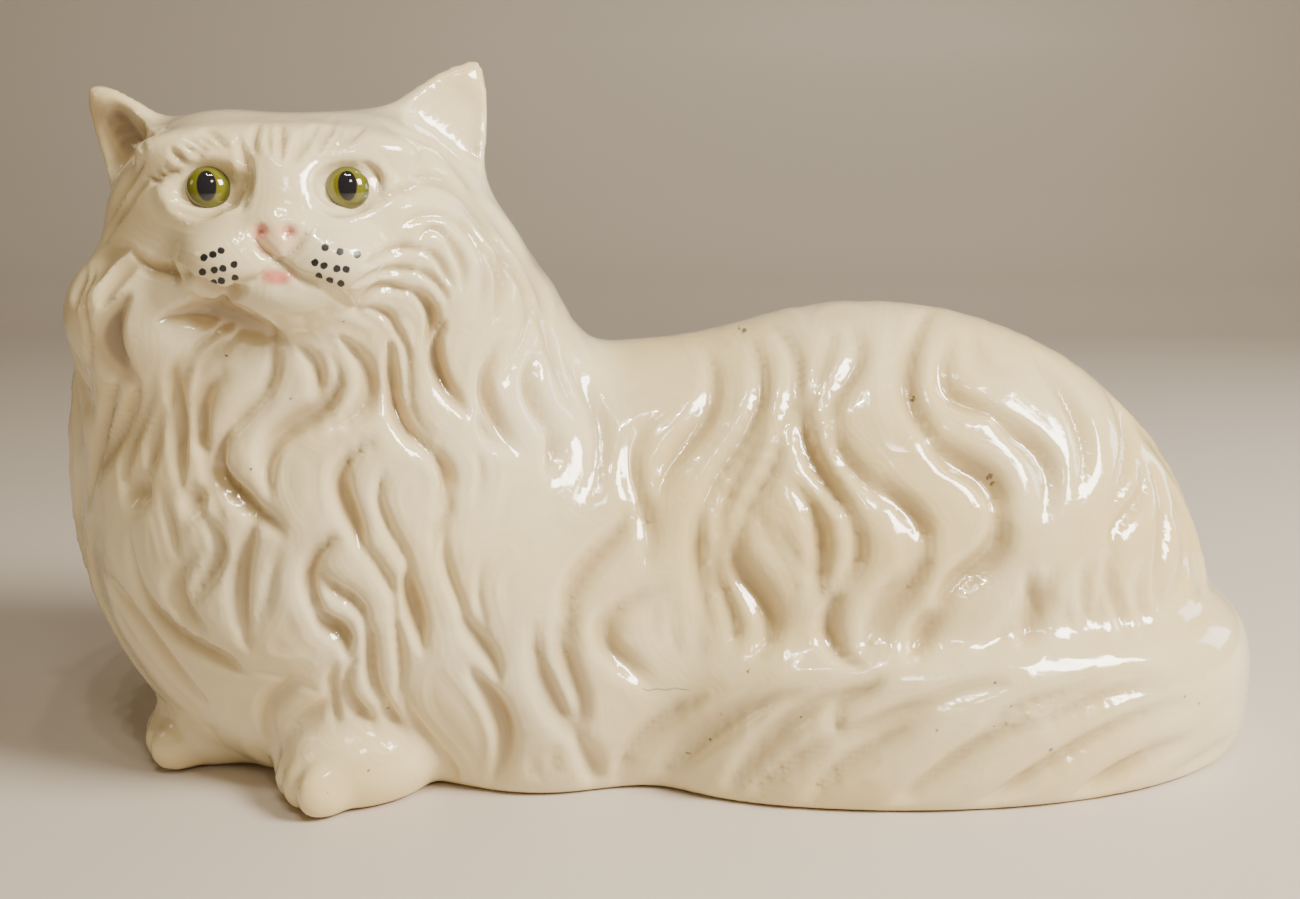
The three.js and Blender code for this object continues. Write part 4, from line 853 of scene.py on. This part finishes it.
class Finish:
    """A material worked out by nodes that feed one shader."""

    def __init__(self, name, **fixed):
        self.material = bpy.data.materials.new(name)
        self.material.use_nodes = True
        self.tree = self.material.node_tree
        self.shader = self.tree.nodes["Principled BSDF"]
        for socket, value in fixed.items():
            self.shader.inputs[socket.replace("_", " ").title().replace("Ior", "IOR")].default_value = value

    def node(self, kind, settings=None, sockets=None):
        """A node of that kind, with its settings made first, then the values or links of its sockets."""
        made = self.tree.nodes.new(kind)
        for name, value in (settings or {}).items():
            setattr(made, name, value)
        for name, value in (sockets or {}).items():
            self.join(made.inputs[name], value)
        return made

    def join(self, socket, value):
        """Gives a socket a plain value, or links a worked out one to it."""
        if isinstance(value, Value):
            self.tree.links.new(value.socket, socket)
        else:
            socket.default_value = value

    def math(self, operation, *values):
        made = self.node("ShaderNodeMath", {"operation": operation}, dict(enumerate(values)))
        return Value(self, made.outputs[0])

    def vector(self, operation, *values):
        made = self.node("ShaderNodeVectorMath", {"operation": operation}, dict(enumerate(values)))
        return Value(self, made.outputs[0])

    def length(self, vector):
        made = self.node("ShaderNodeVectorMath", {"operation": "LENGTH"}, {0: vector})
        return Value(self, made.outputs["Value"])

    def step(self, value, start, end):
        """0 before start and 1 after end, with an even S turn between them."""
        sockets = {"Value": value, "From Min": start, "From Max": end}
        made = self.node("ShaderNodeMapRange", {"interpolation_type": "SMOOTHSTEP"}, sockets)
        return Value(self, made.outputs["Result"])

    def mix(self, share, first, second):
        """One colour laid over another by a share from 0 to 1."""
        made = self.node("ShaderNodeMix", {"data_type": "RGBA"}, {"Factor": share})
        colours = [s for s in made.inputs if s.type == "RGBA"]
        self.join(colours[0], first)
        self.join(colours[1], second)
        return Value(self, next(s for s in made.outputs if s.type == "RGBA"))

    def place(self):
        """Place on the piece, in metres."""
        return Value(self, self.node("ShaderNodeTexCoord").outputs["Object"])

    def noise(self, where, scale, detail):
        """Cloudy values about a half, so many to the metre, with so many finer layers."""
        sockets = {"Vector": where, "Scale": scale, "Detail": detail}
        return Value(self, self.node("ShaderNodeTexNoise", None, sockets).outputs["Fac"])

    def kept(self, name, output="Fac"):
        """The piece's own attribute of that name."""
        return Value(self, self.node("ShaderNodeAttribute", {"attribute_name": name}).outputs[output])

    def parts(self, vector):
        made = self.node("ShaderNodeSeparateXYZ", None, {0: vector})
        return [Value(self, socket) for socket in made.outputs]

    def bump(self, height, distance, strength):
        """The surface's direction, tilted as if it had that height."""
        sockets = {"Height": height, "Distance": distance, "Strength": strength}
        return Value(self, self.node("ShaderNodeBump", None, sockets).outputs[0])

    def feed(self, **varying):
        """Joins worked out values to the shader's sockets of those names."""
        for socket, value in varying.items():
            self.join(self.shader.inputs[socket.replace("_", " ")], value)


CREAM = (0.84, 0.66, 0.33, 1)
PALE = (0.91, 0.80, 0.54, 1)
# Pooled glaze and painted shade in the grooves.
POOLED_AND_SHADED = (0.46, 0.32, 0.15, 1)
# Painted shadow in the ear hollows and the deepest grooves.
SHADOWED = (0.17, 0.11, 0.06, 1)
PINK = (0.80, 0.25, 0.20, 1)
NOSTRIL_RED = (0.42, 0.08, 0.06, 1)
SOOT = (0.012, 0.012, 0.016, 1)
DIRT = (0.13, 0.10, 0.07, 1)

# Painted marks and dirt, on the drawing: right and up of its middle. The whisker dots are hand painted. What
# is turned away from the standpoint by more than TURNED_AWAY counts as FAR_FROM_MARKS off the drawing.
FAR_FROM_MARKS = 100.0
TURNED_AWAY = 0.1
DOT_RADIUS = 1.4
DOT_EDGE = 0.2
DOTS = (
    (-163, 70.2), (-159.7, 71.3), (-156.7, 72.7), (-163.7, 64.7), (-159.3, 65.4), (-156, 66.1),
    (-152, 67.6), (-159.7, 60.6), (-156.7, 61.4), (-151.6, 62.5), (-118.7, 73.8), (-113.3, 72.3),
    (-107, 71.3), (-122.4, 68.3), (-119.1, 67.2), (-114.4, 66.1), (-111, 65.8), (-121, 63.2),
    (-117, 61.7), (-112.9, 60.6),
)
BLUSH_EDGE = (0.45, 1.15)
BLUSHES = (
    {"at": (-137.0, 77.0), "half": (10, 7), "share": 0.25, "colour": PINK},
    {"at": (-136.3, 62.8), "half": (6.6, 3.4), "share": 0.9, "colour": PINK},
    {"at": (-142.6, 80.2), "half": (3.4, 3.4), "share": 0.7, "colour": PINK},
    {"at": (-132.0, 79.8), "half": (3.6, 3.2), "share": 0.6, "colour": PINK},
    {"at": (-142.8, 79.4), "half": (1.5, 1.7), "share": 0.45, "colour": NOSTRIL_RED},
    {"at": (-131.8, 79.0), "half": (1.5, 1.4), "share": 0.4, "colour": NOSTRIL_RED},
)
SPECK_EDGE = 0.3
SPECK_SHARE = 0.85
SPECKS = (
    (34.3, 43.5, 0.9), (96.8, 20.1, 0.8), (126, -9.1, 0.9), (127.5, -11.5, 0.6), (32.5, 44.4, 0.5),
    (25.1, -97.9, 0.45), (20.7, -107.6, 0.45), (12.6, -112.6, 0.45), (54.9, -99, 0.4), (105, -103, 0.6),
    (35.8, -80.8, 0.4), (126.5, -84.9, 0.4), (133, -94, 0.6), (126.9, -102.4, 0.4), (147, -110.2, 0.8),
    (195.7, -90.4, 0.5), (200.8, -92.9, 0.5), (-112, 46.7, 0.5), (-131.8, 18.6, 0.4), (-154.4, 33.7, 0.4),
    (-146.1, -7.1, 0.4), (-95.7, -96.7, 0.6), (-102.6, -117.1, 0.35), (-117.7, -125.2, 0.35),
)
CRACK = {"from": -3.6, "to": 15.5, "up": -87.6, "half": 0.22, "fade": 2, "wander": 3.0, "share": 0.6}

# How the glaze lies, with pooled glaze and painted shade in the grooves and painted shadow past them:
# where each tint starts and is full, and its share. A groove this deep is pooled and shaded in full.
POOL_AND_SHADE_DEPTH = 6.0
CLOUD = {"from": 0.35, "full": 0.7, "share": 0.5}
POOL_AND_SHADE = {"from": 0.1, "full": 1.0, "share": 0.65}
SHADOW = {"from": 1.0, "full": 1.5, "share": 0.6}
WHITER_OFF_MANE = (0, 20)
WHITER_SHARE = 0.35

# Noises in the glaze: how many to the metre, and how many finer layers.
CLOUD_NOISE = (14.0, 3.0)
WOBBLE_NOISE = (900.0, 1.0)
WANDER_NOISE = (160.0, 2.0)
SWAY_NOISE = (40.0, 2.0)
RIPPLE_NOISE = (90.0, 2.0)

# How far the wobble moves the edge of a dot and of a speck, how far the fine strands sway, and how high
# they and the ripple of the glaze are, as shares of the bump's height in metres.
DOT_WOBBLE = 0.7
SPECK_WOBBLE = 2.0
FINE_STRAND = 2.7
STRAND_SWAY = 6.0
STRAND_SHARE = 0.03
RIPPLE_SHARE = 0.5
BUMP_HEIGHT = 0.001
BUMP_STRENGTH = 0.55

# The glaze is glossy, and the painted dots are matt.
GLAZE_ROUGHNESS = 0.14
DOT_ROUGHER = 0.3
GLAZE_COAT = 0.8
DOT_COAT_LESS = 0.6


def in_frame(points):
    """Points in the cat's own millimetres, moved into the frame, in metres."""
    return ((points + TO_MIDDLE) / METRE).tolist()


def add_mesh(name, points, faces, finish):
    """A smooth shaded mesh of one finish, from points in metres."""
    mesh = bpy.data.meshes.new(name)
    mesh.from_pydata(points, [], faces)
    mesh.materials.append(finish.material)
    mesh.shade_smooth()
    piece = bpy.data.objects.new(name, mesh)
    bpy.context.scene.collection.objects.link(piece)
    return piece


def keep(piece, name, values):
    """Stores one number or one vector for each point of a piece, for its finish to read."""
    kind, field = ("FLOAT", "value") if values.ndim == 1 else ("FLOAT_VECTOR", "vector")
    attribute = piece.data.attributes.new(name, kind, "POINT")
    attribute.data.foreach_set(field, values.ravel().astype(np.float32))


def tint(finish, value, amounts):
    """How much of a tint shows: none up to the value that it starts from, and its share at the full one."""
    return finish.step(value, amounts["from"], amounts["full"]) * amounts["share"]


def on_crack(finish, drawn, where):
    """1 on the crack and 0 off it: a level line on the drawing that wanders, and fades out at its ends."""
    along, up, _ = finish.parts(drawn)
    wander = (finish.noise(where, *WANDER_NOISE) - 0.5) * CRACK["wander"]
    off_line = finish.math("ABSOLUTE", up - CRACK["up"] + wander)
    started = finish.step(along, CRACK["from"], CRACK["from"] + CRACK["fade"])
    ended = finish.step(along, CRACK["to"] - CRACK["fade"], CRACK["to"])
    return (1 - finish.step(off_line, 0.0, 2 * CRACK["half"])) * (started * (1 - ended))


def glaze():
    """Cream gloss glaze, darker in the grooves as pooled glaze and painted shade, with painted shadow in the
    ear hollows and the deepest grooves, fine strands along the grooves, and the painted marks and the dirt
    laid over it by their distance on the drawing."""
    finish = Finish("cream_glaze", ior=1.5, coat_roughness=0.02)
    where = finish.place()
    pooled_and_shaded = finish.kept("pooled_and_shaded")
    drawn = finish.kept("drawn", "Vector")
    cloud = tint(finish, finish.noise(where, *CLOUD_NOISE), CLOUD)
    colour = finish.mix(cloud + finish.kept("whiter") * WHITER_SHARE, CREAM, PALE)
    # Darker in the grooves: pooled glaze and painted shade.
    colour = finish.mix(tint(finish, pooled_and_shaded, POOL_AND_SHADE), colour, POOLED_AND_SHADED)
    # Painted shadow where the darkness passes that of a groove deep enough to be pooled in full: the ear
    # hollows and the deepest grooves.
    colour = finish.mix(tint(finish, pooled_and_shaded, SHADOW), colour, SHADOWED)
    wobble = finish.noise(where, *WOBBLE_NOISE) - 0.5
    for blush in BLUSHES:
        half = (*blush["half"], 1)
        from_middle = finish.vector("SUBTRACT", drawn, (*blush["at"], 0))
        reach = finish.length(finish.vector("DIVIDE", from_middle, half))
        within = 1 - finish.step(reach, *BLUSH_EDGE)
        colour = finish.mix(within * blush["share"], colour, blush["colour"])
    to_dot = FAR_FROM_MARKS
    for dot in DOTS:
        apart = finish.length(finish.vector("SUBTRACT", drawn, (*dot, 0)))
        to_dot = finish.math("MINIMUM", apart, to_dot)
    edge = (DOT_RADIUS - DOT_EDGE, DOT_RADIUS + DOT_EDGE)
    inked = 1 - finish.step(to_dot + wobble * DOT_WOBBLE, *edge)
    colour = finish.mix(inked, colour, SOOT)
    to_speck = FAR_FROM_MARKS
    for across, up, radius in SPECKS:
        apart = finish.length(finish.vector("SUBTRACT", drawn, (across, up, 0))) - radius
        to_speck = finish.math("MINIMUM", apart, to_speck)
    dirty = 1 - finish.step(to_speck + wobble * SPECK_WOBBLE, -SPECK_EDGE, SPECK_EDGE)
    colour = finish.mix(dirty * SPECK_SHARE, colour, DIRT)
    colour = finish.mix(on_crack(finish, drawn, where) * CRACK["share"], colour, DIRT)
    sway = finish.noise(where, *SWAY_NOISE) * STRAND_SWAY
    strand = finish.math("COSINE", finish.kept("lay") * (2 * np.pi / FINE_STRAND) + sway)
    ripple = finish.noise(where, *RIPPLE_NOISE)
    height = strand * finish.kept("combed") * STRAND_SHARE + ripple * RIPPLE_SHARE
    finish.feed(
        Base_Color=colour,
        Roughness=inked * DOT_ROUGHER + GLAZE_ROUGHNESS,
        Coat_Weight=GLAZE_COAT - inked * DOT_COAT_LESS,
        Normal=finish.bump(height, BUMP_HEIGHT, BUMP_STRENGTH),
    )
    return finish


def soften(points, depth, faces):
    """Each point moved part of the way to the mean of its neighbours along the edges, and its depth with it,
    a few times over, but not on the fine part of the mesh."""
    low, high = np.array(HEAD_LINES).T
    fine = ((points > low) & (points < high)).all(1)
    points = np.column_stack([points, depth])
    share = np.where(fine, 0.0, SOFTEN_SHARE)[:, None]
    starts = faces.ravel()
    ends = np.roll(faces, 1, axis=1).ravel()
    shares = np.bincount(starts, minlength=len(points)) + np.bincount(ends, minlength=len(points))
    for _ in range(SOFTENINGS):
        total = np.stack([
            np.bincount(starts, points[ends, axis], len(points))
            + np.bincount(ends, points[starts, axis], len(points))
            for axis in range(4)
        ], -1)
        points = points + (total / shares[:, None] - points) * share
    points[:, 2] = np.where(points[:, 2] < FLAT_BELOW, 0.0, points[:, 2])
    return points[:, :3], points[:, 3]


def glazed_body():
    """The whole casting: the smooth form, carved along its outward direction."""
    points, faces = skin()
    slope = slope_of(points, OUTWARD_REACH)
    normal = slope / np.maximum(length(slope), 1e-6)[:, None]
    height, depth, apart = carving(points, normal)
    across, up, line = seen_from_standpoint(points)
    turned_away = FAR_FROM_MARKS * ((normal * line).sum(1) > TURNED_AWAY)
    to_mane = np.minimum(chest(points), head(points))
    points = points + normal * height[:, None]
    points[:, 2] = np.maximum(points[:, 2], 0.0)
    points, depth = soften(points, depth, faces)
    body = add_mesh("glazed_cat", in_frame(points), faces.tolist(), glaze())
    # How dark each point is painted: pooled glaze and painted shade in the grooves, painted shadow in the ear
    # hollows.
    keep(body, "pooled_and_shaded", depth / POOL_AND_SHADE_DEPTH)
    keep(body, "lay", apart)
    keep(body, "combed", 1 - smooth_step(apart, *STRAND["until"]))
    keep(body, "whiter", 1 - smooth_step(to_mane, *WHITER_OFF_MANE))
    keep(body, "drawn", np.stack([across, up, turned_away], -1))
    return body


def glass_eye(name, side, finish):
    """A round glass disc with a domed front: rings round the eye's axis, at equal turns, from the back's
    middle over the side wall and along a quarter oval to the front's middle."""
    quarter = np.linspace(0, np.pi / 2, EYE_RINGS + 1)[:-1]
    radius = np.concatenate([[EYE_RADIUS * EYE_BACK], EYE_RADIUS * np.cos(quarter)])
    ahead = np.concatenate([[0.0], EYE_SIDE_WALL + EYE_DOME * np.sin(quarter)])
    turn = np.radians(np.arange(0, 360, EYE_TURN))
    right = side * EYE_APART / 2 + radius[:, None] * np.cos(turn)
    up = EYE_UP + radius[:, None] * np.sin(turn)
    forward = EYE_FORWARD + ahead[:, None] + 0 * turn
    rings = right[..., None] * HEAD_RIGHT + up[..., None] * HEAD_UP + forward[..., None] * HEAD_FORWARD
    ends = (EYE_FORWARD, EYE_FORWARD + EYE_SIDE_WALL + EYE_DOME)
    poles = [from_face(side * EYE_APART / 2, EYE_UP, forward) for forward in ends]
    points = np.concatenate([(HEAD_AT + rings).reshape(-1, 3), np.array(poles)])
    rows, columns = np.meshgrid(np.arange(len(radius) - 1), np.arange(len(turn)), indexing="ij")
    beside = (columns + 1) % len(turn)
    n = len(turn)
    here, next_one = rows * n + columns, rows * n + beside
    quads = np.stack([here, next_one, next_one + n, here + n], -1)
    ring = np.arange(n)
    last = (len(radius) - 1) * n
    back = np.stack([ring, np.full(n, len(points) - 2), (ring + 1) % n], -1)
    front = np.stack([last + ring, last + (ring + 1) % n, np.full(n, len(points) - 1)], -1)
    faces = quads.reshape(-1, 4).tolist() + back.tolist() + front.tolist()
    piece = add_mesh(name, in_frame(points), faces, finish)
    spot = np.stack([right - side * EYE_APART / 2, up - EYE_UP], -1).reshape(-1, 2)
    spot = np.concatenate([spot, np.zeros((2, 2))])
    keep(piece, "across", spot[:, 0])
    keep(piece, "upward", spot[:, 1])
    return piece


PUPIL_HALF = (2.9, 4.7)
IRIS = (0.165, 0.16, 0.012, 1)
IRIS_EDGE = (0.07, 0.08, 0.012, 1)
IRIS_DARKENS = (4.6, 6.6)
PUPIL_RIM = (0.92, 1.08)


def eye_glass():
    """Olive iris, darker at its edge, and an upright black oval pupil, under clear glass."""
    finish = Finish("eye_glass", roughness=0.05, ior=1.52, coat_weight=1.0, coat_roughness=0.01)
    across, upward = finish.kept("across"), finish.kept("upward")
    from_middle = (across * across + upward * upward) ** 0.5
    pupil = ((across / PUPIL_HALF[0]) ** 2 + (upward / PUPIL_HALF[1]) ** 2) ** 0.5
    colour = finish.mix(finish.step(from_middle, *IRIS_DARKENS), IRIS, IRIS_EDGE)
    colour = finish.mix(1 - finish.step(pupil, *PUPIL_RIM), colour, SOOT)
    finish.feed(Base_Color=colour)
    return finish


TABLE_COLOUR = (0.62, 0.56, 0.48, 1)


def floor():
    """A plain pale table top, well past the view, that curves up into a backdrop."""
    section = ((-3, 0), (1.3, 0), (1.6, 0.05), (1.8, 0.2), (1.9, 0.45), (1.95, 3))
    rows = [[(-4, y, z), (4, y, z)] for y, z in section]
    faces = [(2 * n, 2 * n + 1, 2 * n + 3, 2 * n + 2) for n in range(len(section) - 1)]
    finish = Finish("pale_top", roughness=0.45)
    finish.feed(Base_Color=TABLE_COLOUR)
    top = add_mesh("table_top", [corner for row in rows for corner in row], faces, finish)


def lamp(name, at, toward, size, power, colour):
    """A square soft lamp at a place, turned towards another."""
    light = bpy.data.lights.new(name, "AREA")
    light.size = size
    light.energy = power
    light.color = colour
    holder = bpy.data.objects.new(name, light)
    holder.location = at
    holder.rotation_euler = (Vector(toward) - Vector(at)).to_track_quat("-Z", "Y").to_euler()
    bpy.context.scene.collection.objects.link(holder)


# Places of small bulbs, in metres, whose reflections sparkle in the glaze.
BULBS = ((-0.16, -0.55, 1.3), (-0.05, -0.65, 1.3), (0.07, -0.6, 1.3), (0.18, -0.52, 1.3))
CAT_MIDDLE = (0, 0, 0.1)
ROOM_COLOUR = (0.95, 0.70, 0.42, 1)
ROOM_STRENGTH = 0.17


def studio():
    """A large warm window to the right, a dim one to the left, a blue one far right for the sky, a small
    one in front, small bulbs and a dim warm room."""
    lamp("right_window", (1.05, -0.55, 1.0), CAT_MIDDLE, 0.5, 47, (1.0, 0.94, 0.83))
    lamp("left_window", (-1.2, -0.6, 0.8), CAT_MIDDLE, 0.3, 0.8, (1.0, 0.86, 0.66))
    lamp("sky_window", (1.3, 0.35, 0.45), (0.1, 0, 0.1), 0.4, 3, (0.75, 0.86, 1.0))
    lamp("front_window", (0.5, -1.3, 1.3), CAT_MIDDLE, 0.22, 3.5, (1.0, 0.94, 0.84))
    for at in BULBS:
        lamp("bulb", at, CAT_MIDDLE, 0.03, 1.3, (1.0, 0.93, 0.8))
    world = bpy.data.worlds.new("room")
    world.use_nodes = True
    bpy.context.scene.world = world
    background = world.node_tree.nodes["Background"]
    background.inputs[0].default_value = ROOM_COLOUR
    background.inputs[1].default_value = ROOM_STRENGTH


def camera():
    """The view of the photograph: from the standpoint of the drawing, looking down by its angle."""
    view = bpy.data.cameras.new("view")
    view.sensor_width = 36
    view.lens = 36
    view.clip_start = 0.01
    holder = bpy.data.objects.new("view", view)
    holder.location = (STANDPOINT + TO_MIDDLE) / METRE
    holder.rotation_euler = (np.pi / 2 - LOOK_DOWN, 0, 0)
    bpy.context.scene.collection.objects.link(holder)
    bpy.context.scene.camera = holder


camera()
studio()
floor()
body = glazed_body()
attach(body, "root")
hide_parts("cat_body")
glass = eye_glass()
for name, side in (("left_eye", 1), ("right_eye", -1)):
    eye = glass_eye(name + "_glass", side, glass)
    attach(eye, "root")
    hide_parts(name)
